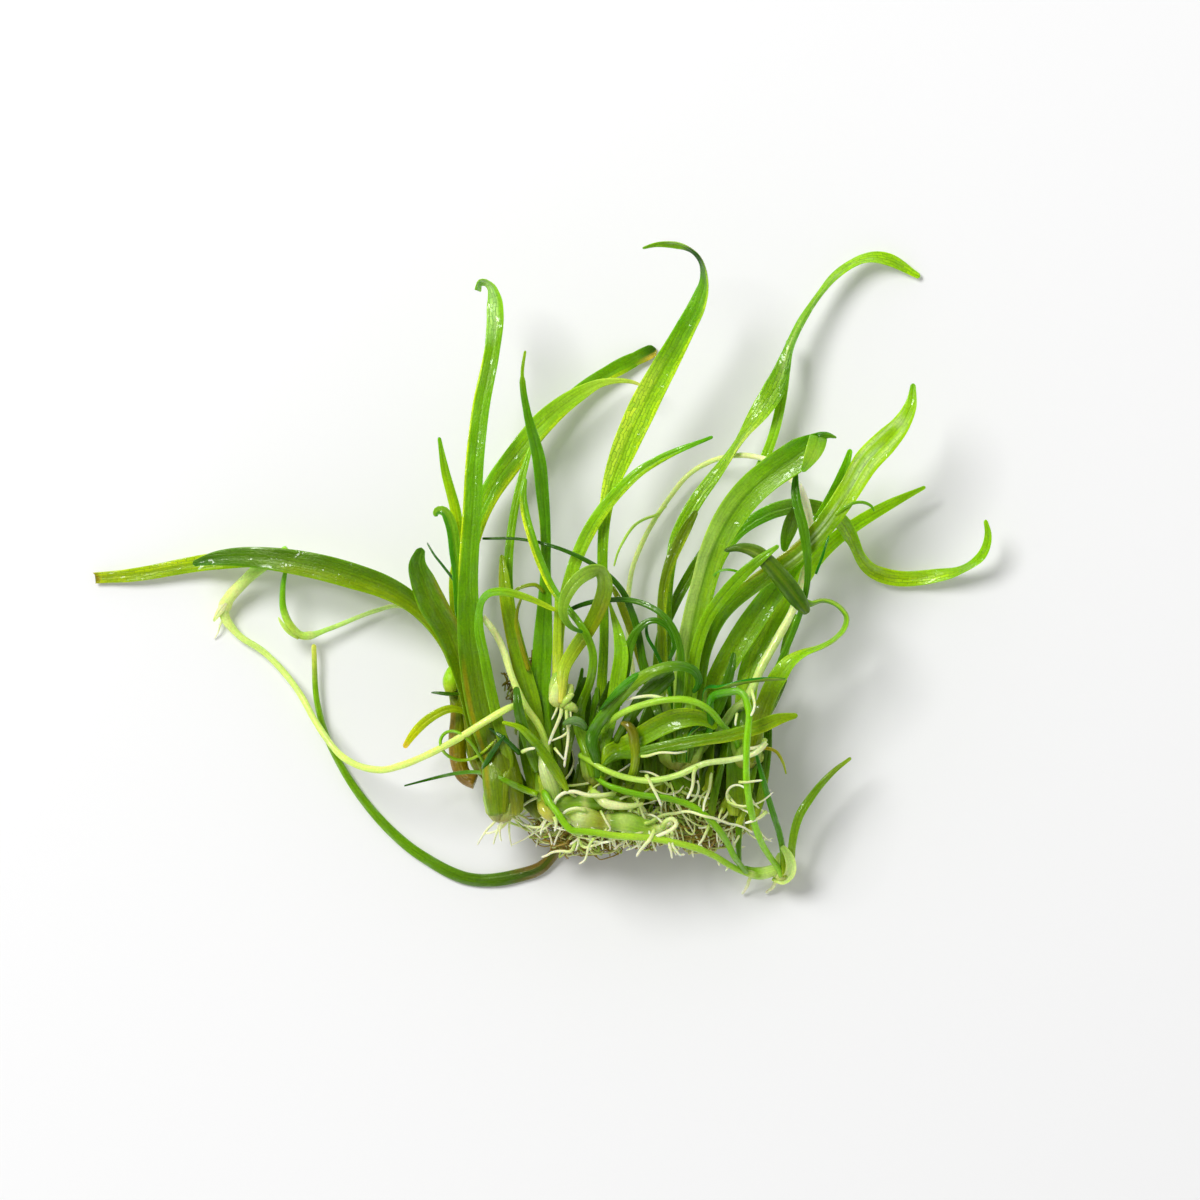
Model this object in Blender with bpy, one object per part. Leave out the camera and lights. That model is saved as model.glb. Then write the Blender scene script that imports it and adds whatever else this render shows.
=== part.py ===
"""A clump of dwarf sagittaria, as picked and laid down on a surface: strap leaves and runners from several crowns.

Every route is drawn on a sheet in millimetres, x to the right and y down, seen from above, with a height
over the surface. A row of a route is (x, y, height, width, turn), from a leaf's tip to its base, and turn is
how far, in degrees, the leaf is rolled about its own length from lying flat.
"""

import bmesh
import bpy
import numpy as np
from mathutils import Vector, kdtree

MM = 0.001
SHEET_X, SHEET_Y = 54.28, 56.54  # the point of the sheet that lies over the origin
GAP = 0.36  # clear space between neighbouring pieces
BLADE, TIP, SHEATH = 0.5, 0.25, 0.7  # thickness of a leaf: its blade, its tip, and where it grips its crown
LAY_STEP = 0.3  # distance between the points at which a piece is laid over the others
REACH = 0.38  # how near, seen from above, two pieces must be to count as crossing
EASE = 3.0  # length over which a leaf rises to clear another
PASSES, SETTLED = 6, 0.001  # rounds of lifting at most, and the lift that counts as none
CLOSE = 0.1  # how far the faceted shape may lie off the smooth one

# Sections of a leaf, as shares of its half width and half thickness
LEAF_SECTION = [(1, 0), (0.5, 1), (-0.5, 1), (-1, 0), (-0.5, -1), (0.5, -1)]
STRIP_SECTION = [(1, 0), (0, 1), (-1, 0), (0, -1)]
BROAD = 1.3  # a leaf wider than this takes the fuller of the two sections
TUBE_SIDES = 6
EGG_SIDES, EGG_RINGS = 12, 8

# Colour and roughness of each kind of tissue
TISSUES = {
    "fresh_leaf": ((0.29, 0.55, 0.02), 0.35),
    "mid_leaf": ((0.13, 0.38, 0.01), 0.35),
    "dark_leaf": ((0.03, 0.19, 0.01), 0.3),
    "olive_leaf": ((0.13, 0.2, 0.005), 0.4),
    "pale_runner": ((0.6, 0.8, 0.25), 0.4),
    "crown_tissue": ((0.42, 0.6, 0.12), 0.45),
    "root_tissue": ((0.5, 0.45, 0.25), 0.7),
}

# Each crown as an egg: centre x, y and height, then half its size along x, y and height
CROWNS = {
    "crown_left": ((50.2, 78.8, 7.2), (2.2, 3.4, 3.4)),
    "crown_middle": ((54.8, 78.0, 7.0), (1.7, 3.2, 3.0)),
    "crown_centre": ((59.6, 75.4, 7.2), (2.0, 3.1, 3.2)),
    "crown_right": ((68.0, 73.8, 7.4), (2.9, 3.2, 3.9)),
    "crown_far_right": ((74.6, 73.8, 7.0), (2.3, 3.1, 3.4)),
    "crown_small": ((55.9, 68.9, 10.2), (0.85, 1.8, 0.8)),
    "crown_offset": ((78.3, 86.6, 2.3), (1.0, 1.5, 1.0)),
}

# The space that each tangle of roots fills, in the same way
ROOT_MATS = {
    "roots_left": ((58.4, 83.2, 3.5), (5.9, 4.0, 3.5)),
    "roots_right": ((69.8, 82.2, 3.6), (5.3, 4.6, 3.6)),
}

for old in list(bpy.data.objects):
    bpy.data.objects.remove(old, do_unlink=True)
clump = bpy.data.collections.new("dwarf_sagittaria")
bpy.context.scene.collection.children.link(clump)
middle = bpy.data.objects.new("clump_origin", None)
clump.objects.link(middle)
laid = []  # every stretch laid so far: x, y, height, half its thickness, and whose it is


def tissue(name):
    """The material of one kind of tissue."""
    found = bpy.data.materials.get(name)
    if found:
        return found
    colour, roughness = TISSUES[name]
    made = bpy.data.materials.new(name)
    made.use_nodes = True
    shader = made.node_tree.nodes["Principled BSDF"]
    shader.inputs["Base Color"].default_value = (*colour, 1)
    shader.inputs["Roughness"].default_value = roughness
    shader.inputs["Metallic"].default_value = 0
    made.diffuse_color = (*colour, 1)
    return made


def placed(point):
    """A point of the sheet, with its height, in metres over the origin."""
    return Vector(((point[0] - SHEET_X) * MM, (SHEET_Y - point[1]) * MM, point[2] * MM))


def add(name, data, kind, origin):
    """A finished mesh or curve as a named object of the clump, with its own origin at the given point."""
    data.materials.append(tissue(kind))
    made = bpy.data.objects.new(name, data)
    made.location = placed(origin)
    made.parent = middle
    clump.objects.link(made)


def smooth_mesh(name, bm):
    """The mesh of a closed shape drawn in metres, with its faces pointing out and its shading smooth."""
    if bm.calc_volume(signed=True) < 0:
        bmesh.ops.reverse_faces(bm, faces=bm.faces)
    mesh = bpy.data.meshes.new(name)
    bm.to_mesh(mesh)
    bm.free()
    mesh.shade_smooth()
    return mesh


def through(rows, spacing):
    """Rows about `spacing` apart on a smooth curve through the given ones, and how far along each lies."""
    rows = np.array(rows, float)
    at = np.concatenate([[0], np.cumsum(np.linalg.norm(np.diff(rows[:, :3], axis=0), axis=1))])
    slope = np.gradient(rows, at, axis=0)
    places = np.linspace(0, at[-1], max(4, round(at[-1] / spacing)) + 1)
    span = np.clip(np.searchsorted(at, places, "right") - 1, 0, len(at) - 2)
    length = (at[span + 1] - at[span])[:, None]
    u = (places - at[span])[:, None] / length
    smooth = (
        (1 + 2 * u) * (1 - u) ** 2 * rows[span]
        + u * (1 - u) ** 2 * length * slope[span]
        + u * u * (3 - 2 * u) * rows[span + 1]
        + u * u * (u - 1) * length * slope[span + 1]
    )
    smooth[:, 3] = np.interp(places, at, rows[:, 3])
    return smooth, places


def across(rows):
    """The direction across a leaf and the one square to its blade, at every row."""
    along = np.gradient(rows[:, :3], axis=0)
    along /= np.linalg.norm(along, axis=1)[:, None]
    flat = np.stack([-along[:, 1], along[:, 0], np.zeros(len(rows))], axis=1)
    for i, side in enumerate(flat):
        size = np.linalg.norm(side)
        if i and (size < 0.2 or side @ flat[i - 1] < 0):
            side = flat[i - 1] if size < 0.2 else -side
        flat[i] = side / np.linalg.norm(side)
    up = np.cross(flat, along)
    turn = np.radians(rows[:, 4])[:, None]
    return flat * np.cos(turn) + up * np.sin(turn), up * np.cos(turn) - flat * np.sin(turn)


def thickness(rows, places, tube):
    """How thick the piece is at every row."""
    if tube:
        return rows[:, 3]
    part = places / places[-1]
    return np.minimum(np.interp(part, [0, 0.15, 0.75, 1], [TIP, BLADE, BLADE, SHEATH]), rows[:, 3])


def lines(rows, thick, tube):
    """Lines of points running down the piece, side by side, each point with half the height that it fills."""
    side, up = across(rows)
    count = int(rows[:, 3].max() / LAY_STEP) + 2
    for share in np.linspace(-1, 1, count):
        points = rows[:, :3] + side * (share * rows[:, 3] / 2)[:, None]
        section = (1 - share**2) ** 0.5 if tube else min(1, 2 - 2 * abs(share))
        half = np.abs(up[:, 2]) * thick / 2 * section + np.abs(side[:, 2]) * rows[:, 3] / 2 / (count - 1)
        yield points, half


def lay(rows, places, thick, tube, grows_from):
    """Lifts the rows wherever the piece would sink into the surface or touch what was laid before it."""
    tree = kdtree.KDTree(len(laid))
    for number, (x, y, _, _, _) in enumerate(laid):
        tree.insert((x, y, 0), number)
    tree.balance()
    for _ in range(PASSES):
        lift = np.zeros(len(rows))
        for points, half in lines(rows, thick, tube):
            for i, (x, y, z) in enumerate(points):
                lift[i] = max(lift[i], half[i] - z)
                for _, number, _ in tree.find_range((x, y, 0), REACH):
                    _, _, height, depth, owner = laid[number]
                    need = half[i] + depth + GAP
                    if owner not in grows_from and abs(z - height) < need:
                        lift[i] = max(lift[i], height + need - z)
        if lift.max() < SETTLED:
            break
        spread = np.exp(-(((places[:, None] - places[None, :]) / EASE) ** 2))
        rows[:, 2] += (spread * lift[None, :]).max(axis=1)
    return rows


def stations(rows, first, last):
    """The fewest rows between two that keep the shape to within CLOSE: a span is split at its worst row."""
    if last - first < 2:
        return [last]
    shape = np.column_stack([rows[:, :3], rows[:, 3] / 2, np.radians(rows[:, 4]) * rows[:, 3] / 2])
    share = np.linspace(0, 1, last - first + 1)[:, None]
    straight = shape[first] * (1 - share) + shape[last] * share
    off = np.linalg.norm(shape[first : last + 1] - straight, axis=1)
    worst = int(off.argmax())
    if off[worst] < CLOSE:
        return [last]
    return stations(rows, first, first + worst) + stations(rows, first + worst, last)


def outside(rows, thick, egg):
    """Which rows lie clear of an egg."""
    centre, half = np.array(egg[0]), np.array(egg[1])
    reach = half[None, :] + GAP + 0.5 * thick[:, None]
    return (((rows[:, :3] - centre) / reach) ** 2).sum(axis=1) > 1


def leaf_mesh(name, rows, thick, stops, origin):
    """A leaf lofted from a rounded grip at its crown to a thin tip."""
    side, up = across(rows)
    section = LEAF_SECTION if rows[:, 3].max() > BROAD else STRIP_SECTION
    bm = bmesh.new()
    rings = []
    for stop in stops:
        across_leaf = side[stop] * rows[stop, 3] / 2
        through_leaf = up[stop] * thick[stop] / 2
        corners = [rows[stop, :3] + across_leaf * a + through_leaf * b for a, b in section]
        rings.append([bm.verts.new(placed(corner) - placed(origin)) for corner in corners])
    for ring, following in zip(rings, rings[1:]):
        for i in range(len(section)):
            j = (i + 1) % len(section)
            bm.faces.new((ring[i], following[i], following[j], ring[j]))
    bm.faces.new(rings[0])
    bm.faces.new(rings[-1][::-1])
    return smooth_mesh(name, bm)


def runner_curve(name, rows, stops, origin):
    """A runner as a round tube along its route, as thick at each point as the route says."""
    curve = bpy.data.curves.new(name, "CURVE")
    curve.dimensions = "3D"
    curve.bevel_depth = MM / 2
    curve.bevel_resolution = (TUBE_SIDES - 4) // 2
    curve.use_fill_caps = True
    spline = curve.splines.new("POLY")
    spline.points.add(len(stops) - 1)
    for point, stop in zip(spline.points, stops):
        point.co = (*(placed(rows[stop]) - placed(origin)), 1)
        point.radius = rows[stop, 3]
    return curve


def piece(name, kind, rows, grows_from=(), tube=False):
    """A leaf or a runner: laid over the earlier pieces, cut where it meets its crowns, then given its body."""
    rows = [row if len(row) == 5 else (*row, 0) for row in rows]
    rows, places = through(rows, LAY_STEP)
    thick = thickness(rows, places, tube)
    rows = lay(rows, places, thick, tube, grows_from)
    clear = np.ones(len(rows), bool)
    for crown in grows_from:
        clear &= outside(rows, thick, CROWNS[crown])
    first, last = np.flatnonzero(clear)[[0, -1]]
    for points, half in lines(rows[first : last + 1], thick[first : last + 1], tube):
        laid.extend((x, y, z, h, name) for (x, y, z), h in zip(points, half))
    stops = [first, *stations(rows, first, last)]
    base = rows[last, :3]
    if tube:
        add(name, runner_curve(name, rows, stops, base), kind, base)
    else:
        add(name, leaf_mesh(name, rows, thick, stops, base), kind, base)


def egg(name, kind, centre, half):
    """A crown or the outer shape of a root tangle, also laid as something that later pieces pass over."""
    bm = bmesh.new()
    bmesh.ops.create_uvsphere(bm, u_segments=EGG_SIDES, v_segments=EGG_RINGS, radius=MM)
    bmesh.ops.scale(bm, vec=half, verts=bm.verts)
    add(name, smooth_mesh(name, bm), kind, centre)
    for x in np.arange(-half[0], half[0] + LAY_STEP, LAY_STEP):
        for y in np.arange(-half[1], half[1] + LAY_STEP, LAY_STEP):
            inside = 1 - (x / half[0]) ** 2 - (y / half[1]) ** 2
            if inside > 0:
                laid.append((centre[0] + x, centre[1] + y, centre[2], half[2] * inside**0.5, name))


# Crowns and roots
for name, (centre, half) in CROWNS.items():
    egg(name, "crown_tissue", centre, half)
for name, (centre, half) in ROOT_MATS.items():
    egg(name, "root_tissue", centre, half)

# Left rosette, from the surface up
piece(
    "runner_side_shoot",
    "pale_runner",
    [
        (28.8, 56.4, 4.4, 0.3),
        (28.4, 58.6, 4.2, 0.6),
        (28.6, 61.5, 3.6, 0.7),
        (29.4, 62.9, 3.0, 0.9),
        (30.4, 63.6, 2.4, 0.8),
        (32.0, 63.2, 2.0, 0.5),
        (36.0, 61.7, 1.8, 0.45),
        (40.0, 60.6, 1.8, 0.45),
        (43.6, 62.4, 2.2, 0.45),
        (46.2, 68.0, 2.8, 0.45),
        (48.6, 75.0, 3.8, 0.5),
        (49.4, 78.4, 4.4, 0.5),
    ],
    ["crown_left"],
    tube=True,
)
piece(
    "left_leaf_far",
    "fresh_leaf",
    [
        (9.5, 57.8, 0.5, 0.9),
        (11.5, 57.7, 0.7, 1.15),
        (16.0, 57.0, 1.2, 1.4),
        (22.0, 56.1, 1.9, 1.6),
        (28.0, 55.9, 2.5, 1.6),
        (34.0, 56.8, 2.9, 1.6),
        (40.0, 59.5, 3.1, 1.6),
        (44.4, 63.8, 3.3, 1.5),
        (46.6, 69.5, 3.6, 1.5),
        (48.2, 77.2, 4.6, 1.3),
    ],
    ["crown_left"],
)
piece(
    "left_leaf_long_back",
    "mid_leaf",
    [
        (65.6, 34.9, 0.4, 0.4),
        (64.0, 35.7, 0.7, 1.1),
        (62.0, 36.7, 1.1, 1.6),
        (59.0, 38.5, 1.6, 1.8),
        (55.5, 41.5, 2.2, 1.8),
        (51.8, 46.0, 2.8, 1.6),
        (48.6, 50.8, 3.2, 1.4),
        (47.0, 56.0, 3.5, 1.2),
        (46.8, 63.0, 4.4, 1.2),
        (47.9, 70.5, 4.8, 1.3),
        (49.8, 77.6, 5.2, 1.2),
    ],
    ["crown_left"],
)
piece(
    "left_leaf_long_front",
    "fresh_leaf",
    [
        (64.9, 39.1, 3.4, 0.3),
        (64.0, 38.5, 3.6, 0.6),
        (62.4, 38.3, 3.9, 0.8),
        (60.4, 38.3, 4.3, 1.1),
        (58.4, 39.2, 4.8, 2.0),
        (55.4, 41.3, 5.3, 2.3),
        (52.3, 44.7, 5.7, 2.1),
        (49.6, 48.2, 5.9, 1.9),
        (47.8, 51.8, 6.0, 1.6),
        (46.9, 56.5, 6.0, 1.4),
        (47.1, 63.0, 6.0, 1.3),
        (48.9, 70.5, 6.0, 1.2),
        (51.3, 77.6, 6.0, 1.2),
    ],
    ["crown_left"],
)
piece(
    "left_leaf_arching",
    "mid_leaf",
    [
        (19.4, 56.4, 4.6, 0.4),
        (21.4, 55.9, 5.2, 1.4),
        (24.0, 55.7, 5.9, 1.9),
        (28.0, 56.0, 6.8, 2.4),
        (32.0, 56.7, 7.4, 2.6),
        (36.0, 57.8, 7.6, 2.6),
        (40.0, 59.4, 7.4, 2.2),
        (43.2, 62.1, 7.0, 1.5),
        (45.2, 65.3, 6.6, 1.4),
        (46.7, 70.0, 6.4, 1.4),
        (48.1, 77.0, 6.2, 1.3),
    ],
    ["crown_left"],
)
piece(
    "left_leaf_thin",
    "fresh_leaf",
    [
        (44.0, 43.8, 7.6, 0.3),
        (44.4, 46.2, 7.5, 0.8),
        (45.1, 49.2, 7.3, 1.1),
        (45.8, 52.0, 7.1, 1.1),
        (46.0, 54.6, 7.0, 1.0),
        (45.5, 57.5, 6.8, 1.0),
        (45.5, 60.5, 6.8, 0.9),
        (46.6, 66.0, 7.2, 0.9),
        (49.5, 76.8, 6.8, 0.9),
    ],
    ["crown_left"],
)
piece(
    "left_leaf_hooked",
    "mid_leaf",
    [
        (43.6, 51.7, 9.4, 0.4),
        (43.9, 51.1, 9.7, 0.8),
        (44.5, 51.2, 9.8, 1.1),
        (45.0, 52.6, 9.6, 1.3),
        (45.6, 55.2, 9.2, 1.2),
        (45.9, 58.5, 8.8, 1.0),
        (46.4, 64.0, 8.2, 1.0),
        (47.9, 70.0, 8.0, 1.1),
        (50.0, 76.6, 7.8, 1.1),
    ],
    ["crown_left"],
)
piece(
    "left_leaf_short_broad",
    "olive_leaf",
    [
        (42.3, 54.8, 11.2, 0.5),
        (41.9, 56.3, 11.0, 1.8),
        (42.4, 58.0, 10.7, 2.3),
        (43.4, 60.4, 10.1, 2.4),
        (44.9, 63.0, 9.5, 2.2),
        (46.2, 66.4, 8.9, 1.8),
        (47.3, 71.0, 8.4, 1.5),
        (48.6, 76.4, 7.8, 1.4),
    ],
    ["crown_left"],
)
piece(
    "left_leaf_tall",
    "mid_leaf",
    [
        (47.8, 29.3, 9.8, 0.4, 60),
        (48.2, 28.4, 9.8, 0.8, 60),
        (49.1, 28.8, 9.8, 1.2, 45),
        (49.6, 30.8, 10.0, 1.4, 20),
        (49.5, 33.5, 10.3, 1.5),
        (48.9, 37.5, 10.8, 1.7),
        (48.1, 41.5, 11.2, 1.75),
        (47.5, 47.5, 11.6, 1.85),
        (47.2, 54.0, 11.6, 1.9),
        (46.9, 59.5, 11.3, 2.0),
        (47.2, 65.0, 10.6, 2.6),
        (48.3, 71.5, 9.8, 2.8),
        (49.9, 77.2, 9.0, 2.2),
    ],
    ["crown_left"],
)
piece(
    "left_leaf_looped",
    "mid_leaf",
    [
        (55.6, 61.0, 11.6, 0.4),
        (53.6, 60.1, 12.3, 0.6),
        (51.6, 59.4, 12.9, 0.8),
        (49.9, 59.2, 13.3, 0.9, 25),
        (48.7, 59.6, 13.4, 1.0, 50),
        (48.1, 61.0, 13.2, 1.0, 40),
        (48.4, 64.5, 12.5, 1.0, 10),
        (49.3, 69.5, 11.5, 1.1),
        (50.4, 74.0, 10.6, 1.1),
        (51.3, 77.4, 9.4, 1.0),
    ],
    ["crown_left"],
)
piece(
    "left_old_stalk",
    "olive_leaf",
    [
        (45.2, 67.1, 5.6, 0.5),
        (45.1, 68.0, 5.6, 1.5),
        (45.5, 69.0, 5.5, 1.2),
        (45.9, 71.0, 5.4, 1.7),
        (45.8, 74.5, 5.2, 1.8),
        (46.4, 77.4, 5.4, 1.6),
        (49.0, 78.6, 6.0, 1.4),
    ],
    ["crown_left"],
)
piece(
    "left_leaf_stub",
    "fresh_leaf",
    [
        (40.5, 74.7, 6.4, 0.4),
        (41.3, 73.5, 6.8, 0.9),
        (42.5, 72.2, 7.2, 1.0),
        (43.8, 71.3, 7.4, 0.9),
        (45.2, 70.8, 7.4, 0.8),
    ],
)

# Middle rosette
piece(
    "middle_leaf_slim",
    "mid_leaf",
    [
        (53.1, 44.8, 7.0, 0.4),
        (52.4, 47.2, 7.3, 0.8),
        (51.6, 50.5, 7.6, 0.8),
        (51.1, 54.0, 7.8, 0.8),
        (50.8, 58.0, 7.8, 1.0),
        (51.0, 61.5, 7.6, 1.5),
        (51.8, 65.0, 7.4, 1.6),
        (53.0, 69.0, 7.0, 1.3),
        (54.4, 76.0, 6.4, 1.2),
    ],
    ["crown_middle"],
)
piece(
    "middle_leaf_dark",
    "dark_leaf",
    [
        (52.6, 35.3, 12.6, 0.3),
        (52.3, 37.5, 12.4, 0.6),
        (52.6, 40.5, 12.0, 0.7),
        (53.3, 43.4, 11.4, 0.9),
        (54.0, 46.4, 10.8, 1.4),
        (54.3, 49.5, 10.2, 1.3),
        (54.6, 53.5, 9.7, 1.0),
        (54.6, 57.0, 9.3, 1.0),
        (54.4, 60.5, 9.0, 1.6),
        (54.3, 64.5, 8.6, 2.0),
        (54.1, 69.0, 8.0, 1.9),
        (54.6, 76.0, 7.0, 1.6),
    ],
    ["crown_middle"],
)
piece(
    "runner_short",
    "pale_runner",
    [
        (48.4, 61.7, 9.4, 0.6),
        (49.6, 63.3, 9.8, 0.7),
        (50.6, 65.4, 10.1, 0.7),
        (51.4, 68.0, 10.3, 0.7),
        (52.6, 70.5, 10.2, 0.7),
        (54.0, 72.6, 9.8, 0.7),
        (55.0, 75.5, 8.6, 0.7),
    ],
    ["crown_middle"],
    tube=True,
)

# Centre rosette
piece(
    "centre_leaf_tall",
    "fresh_leaf",
    [
        (64.2, 25.2, 13.0, 0.3, 40),
        (65.9, 24.75, 13.0, 0.9, 50),
        (68.0, 24.9, 12.8, 1.4, 60),
        (69.7, 26.0, 12.4, 1.7, 65),
        (70.4, 28.0, 11.9, 1.9, 55),
        (69.9, 30.2, 11.4, 2.1, 25),
        (68.4, 33.2, 10.8, 2.2),
        (66.4, 37.0, 10.1, 2.6),
        (64.2, 41.0, 9.5, 2.9),
        (62.4, 45.0, 9.0, 2.6),
        (61.0, 48.8, 8.6, 1.6),
        (60.4, 52.5, 8.4, 1.1),
        (60.3, 58.0, 8.2, 1.0),
        (60.4, 64.0, 7.8, 0.9),
        (60.1, 70.0, 7.2, 1.1),
        (59.7, 74.4, 6.6, 1.2),
    ],
    ["crown_centre"],
)
piece(
    "centre_leaf_pointed",
    "fresh_leaf",
    [
        (71.2, 43.8, 11.0, 0.3),
        (68.6, 44.9, 10.9, 0.6),
        (65.6, 46.2, 10.7, 0.9),
        (62.9, 48.1, 10.4, 1.1),
        (60.9, 50.5, 10.1, 1.3),
        (59.0, 53.0, 9.7, 1.4),
        (57.7, 55.8, 9.4, 1.3),
        (56.7, 59.0, 9.4, 1.2),
        (56.0, 62.5, 9.7, 1.1),
        (55.8, 66.0, 10.0, 1.1),
        (55.9, 68.8, 10.2, 1.0),
    ],
    ["crown_small"],
)
piece(
    "centre_leaf_olive",
    "olive_leaf",
    [
        (61.2, 58.6, 5.0, 0.3),
        (62.0, 60.2, 5.2, 0.8),
        (62.8, 62.0, 5.4, 1.0),
        (63.5, 64.2, 5.6, 1.0),
        (64.4, 66.8, 5.8, 1.0),
        (65.2, 69.6, 6.2, 1.0),
        (66.0, 72.4, 6.8, 0.9),
    ],
    ["crown_right"],
)
piece(
    "middle_leaf_wiry",
    "dark_leaf",
    [
        (48.3, 53.9, 9.8, 0.25),
        (51.4, 53.9, 10.2, 0.3),
        (54.4, 54.4, 10.6, 0.35),
        (57.4, 55.5, 10.8, 0.45),
        (60.0, 56.9, 10.6, 0.5),
        (62.0, 58.8, 10.2, 0.6),
        (63.2, 61.3, 9.8, 0.7),
        (64.0, 65.0, 9.4, 0.8),
        (65.0, 69.2, 9.0, 0.9),
        (66.2, 72.4, 8.8, 0.8),
    ],
    ["crown_right"],
)
piece(
    "centre_leaf_glossy_arch",
    "dark_leaf",
    [
        (56.7, 61.1, 7.6, 0.4),
        (58.4, 60.4, 8.2, 0.5),
        (60.8, 60.0, 9.6, 0.5),
        (63.4, 60.1, 11.2, 0.55),
        (65.4, 60.9, 12.2, 0.6),
        (66.9, 62.2, 12.6, 0.6),
        (67.8, 64.2, 12.4, 0.7),
        (68.0, 67.0, 11.8, 0.8),
        (67.6, 72.6, 10.4, 0.8),
    ],
    ["crown_right"],
)
piece(
    "centre_leaf_dark_arch",
    "dark_leaf",
    [
        (66.9, 65.9, 10.6, 0.3),
        (67.4, 64.2, 10.9, 0.6),
        (66.5, 62.5, 11.0, 0.6),
        (65.3, 62.0, 11.0, 0.6),
        (64.0, 62.7, 10.8, 0.7),
        (63.0, 64.4, 10.4, 1.0),
        (62.3, 67.0, 9.8, 1.5),
        (61.4, 70.4, 8.8, 1.5),
        (60.2, 74.2, 7.6, 1.3),
    ],
    ["crown_centre"],
)
piece(
    "centre_leaf_folded",
    "olive_leaf",
    [
        (58.3, 63.2, 14.4, 0.3),
        (57.2, 62.7, 14.6, 0.5),
        (56.4, 61.5, 14.6, 0.9),
        (56.5, 60.0, 14.6, 1.2),
        (57.3, 58.6, 14.6, 1.3),
        (58.6, 57.4, 14.4, 1.4),
        (60.0, 57.1, 13.9, 1.5, 30),
        (60.5, 58.4, 13.2, 1.6, 15),
        (60.0, 60.5, 12.4, 1.6),
        (58.9, 62.8, 11.7, 1.5),
        (57.4, 65.0, 11.1, 1.4),
        (56.3, 67.2, 10.6, 1.2),
        (56.0, 68.8, 10.3, 1.0),
    ],
    ["crown_small"],
)
piece(
    "middle_leaf_long",
    "mid_leaf",
    [
        (52.6, 47.9, 11.0, 0.3),
        (52.4, 50.0, 11.2, 0.8),
        (52.9, 52.6, 11.5, 0.9),
        (54.0, 56.0, 11.8, 0.9),
        (55.2, 58.7, 12.0, 0.8),
        (56.6, 60.6, 12.4, 0.7),
        (58.1, 62.5, 13.0, 0.7),
        (59.2, 64.6, 12.6, 0.8),
        (59.6, 67.4, 11.8, 0.9),
        (59.2, 70.8, 10.0, 1.0),
        (59.2, 74.2, 8.2, 1.0),
    ],
    ["crown_centre"],
)

# Right rosettes, from the surface up
piece(
    "runner_arching_back",
    "pale_runner",
    [
        (63.6, 69.0, 3.4, 0.5),
        (62.8, 63.0, 2.4, 0.5),
        (63.3, 56.6, 1.8, 0.5),
        (66.3, 50.8, 2.0, 0.5),
        (69.2, 47.2, 2.4, 0.5),
        (72.6, 45.7, 2.8, 0.5),
        (75.8, 45.8, 3.6, 0.55),
        (78.6, 47.4, 5.0, 0.7),
        (80.3, 50.2, 6.4, 0.75),
        (80.8, 53.4, 7.4, 0.75),
        (80.2, 57.6, 8.0, 0.75),
        (79.0, 61.4, 8.4, 0.8),
        (77.1, 64.8, 8.8, 0.85),
        (75.4, 68.2, 8.8, 0.85),
        (74.8, 72.0, 7.6, 0.8),
    ],
    ["crown_far_right"],
    tube=True,
)
piece(
    "right_leaf_narrow",
    "fresh_leaf",
    [
        (78.8, 34.0, 2.6, 0.4),
        (78.5, 37.5, 3.0, 0.9),
        (78.0, 40.6, 3.3, 1.0),
        (77.0, 44.4, 3.6, 1.0),
        (75.2, 48.2, 3.9, 1.0),
        (72.6, 52.2, 4.1, 1.0),
        (70.0, 55.8, 4.3, 1.1),
        (67.9, 59.4, 4.4, 1.1),
        (66.2, 63.4, 4.4, 1.1),
        (65.8, 68.0, 4.4, 1.1),
        (66.4, 72.6, 4.9, 1.0),
    ],
    ["crown_right"],
)
piece(
    "right_leaf_tall",
    "fresh_leaf",
    [
        (92.0, 27.7, 0.5, 0.3),
        (90.2, 26.7, 0.9, 0.9, 15),
        (88.3, 25.9, 1.4, 1.4, 25),
        (86.2, 26.0, 1.9, 1.6, 50),
        (84.2, 27.1, 2.4, 1.6, 55),
        (82.0, 29.4, 3.0, 1.6, 55),
        (80.2, 32.1, 3.5, 1.6, 50),
        (78.8, 35.0, 4.0, 1.6, 25),
        (77.6, 38.5, 4.4, 1.9),
        (76.0, 41.2, 4.8, 1.8, 20),
        (74.3, 43.6, 5.0, 1.5, 65),
        (72.6, 46.1, 5.1, 1.3, 45),
        (70.6, 48.7, 5.2, 1.4, 10),
        (68.8, 51.4, 5.3, 1.5),
        (67.4, 54.4, 5.4, 1.2),
        (66.9, 58.0, 5.6, 0.9),
        (66.6, 63.0, 5.6, 1.0),
        (66.9, 68.4, 5.6, 1.1),
        (67.6, 72.8, 5.6, 1.1),
    ],
    ["crown_right"],
)
piece(
    "right_leaf_olive",
    "olive_leaf",
    [
        (69.6, 51.1, 7.4, 0.4),
        (68.8, 52.5, 7.4, 1.1),
        (67.6, 54.8, 7.3, 1.2),
        (66.6, 57.4, 7.2, 1.0),
        (66.3, 61.0, 7.1, 0.9),
        (66.2, 65.0, 7.2, 1.0),
        (66.5, 69.0, 7.4, 1.1),
        (66.8, 72.8, 7.7, 1.0),
    ],
    ["crown_right"],
)
piece(
    "right_leaf_bright",
    "fresh_leaf",
    [
        (92.5, 48.7, 2.2, 0.3),
        (90.2, 49.8, 2.5, 0.9),
        (87.4, 51.3, 2.9, 1.3),
        (84.6, 53.1, 3.3, 1.4),
        (82.2, 55.1, 3.7, 1.5),
        (80.2, 57.6, 4.2, 1.9),
        (78.4, 60.6, 4.7, 2.3),
        (76.2, 64.2, 5.2, 2.4),
        (74.8, 67.6, 5.6, 2.2),
        (74.4, 72.4, 6.0, 2.0),
    ],
    ["crown_far_right"],
)
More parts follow.
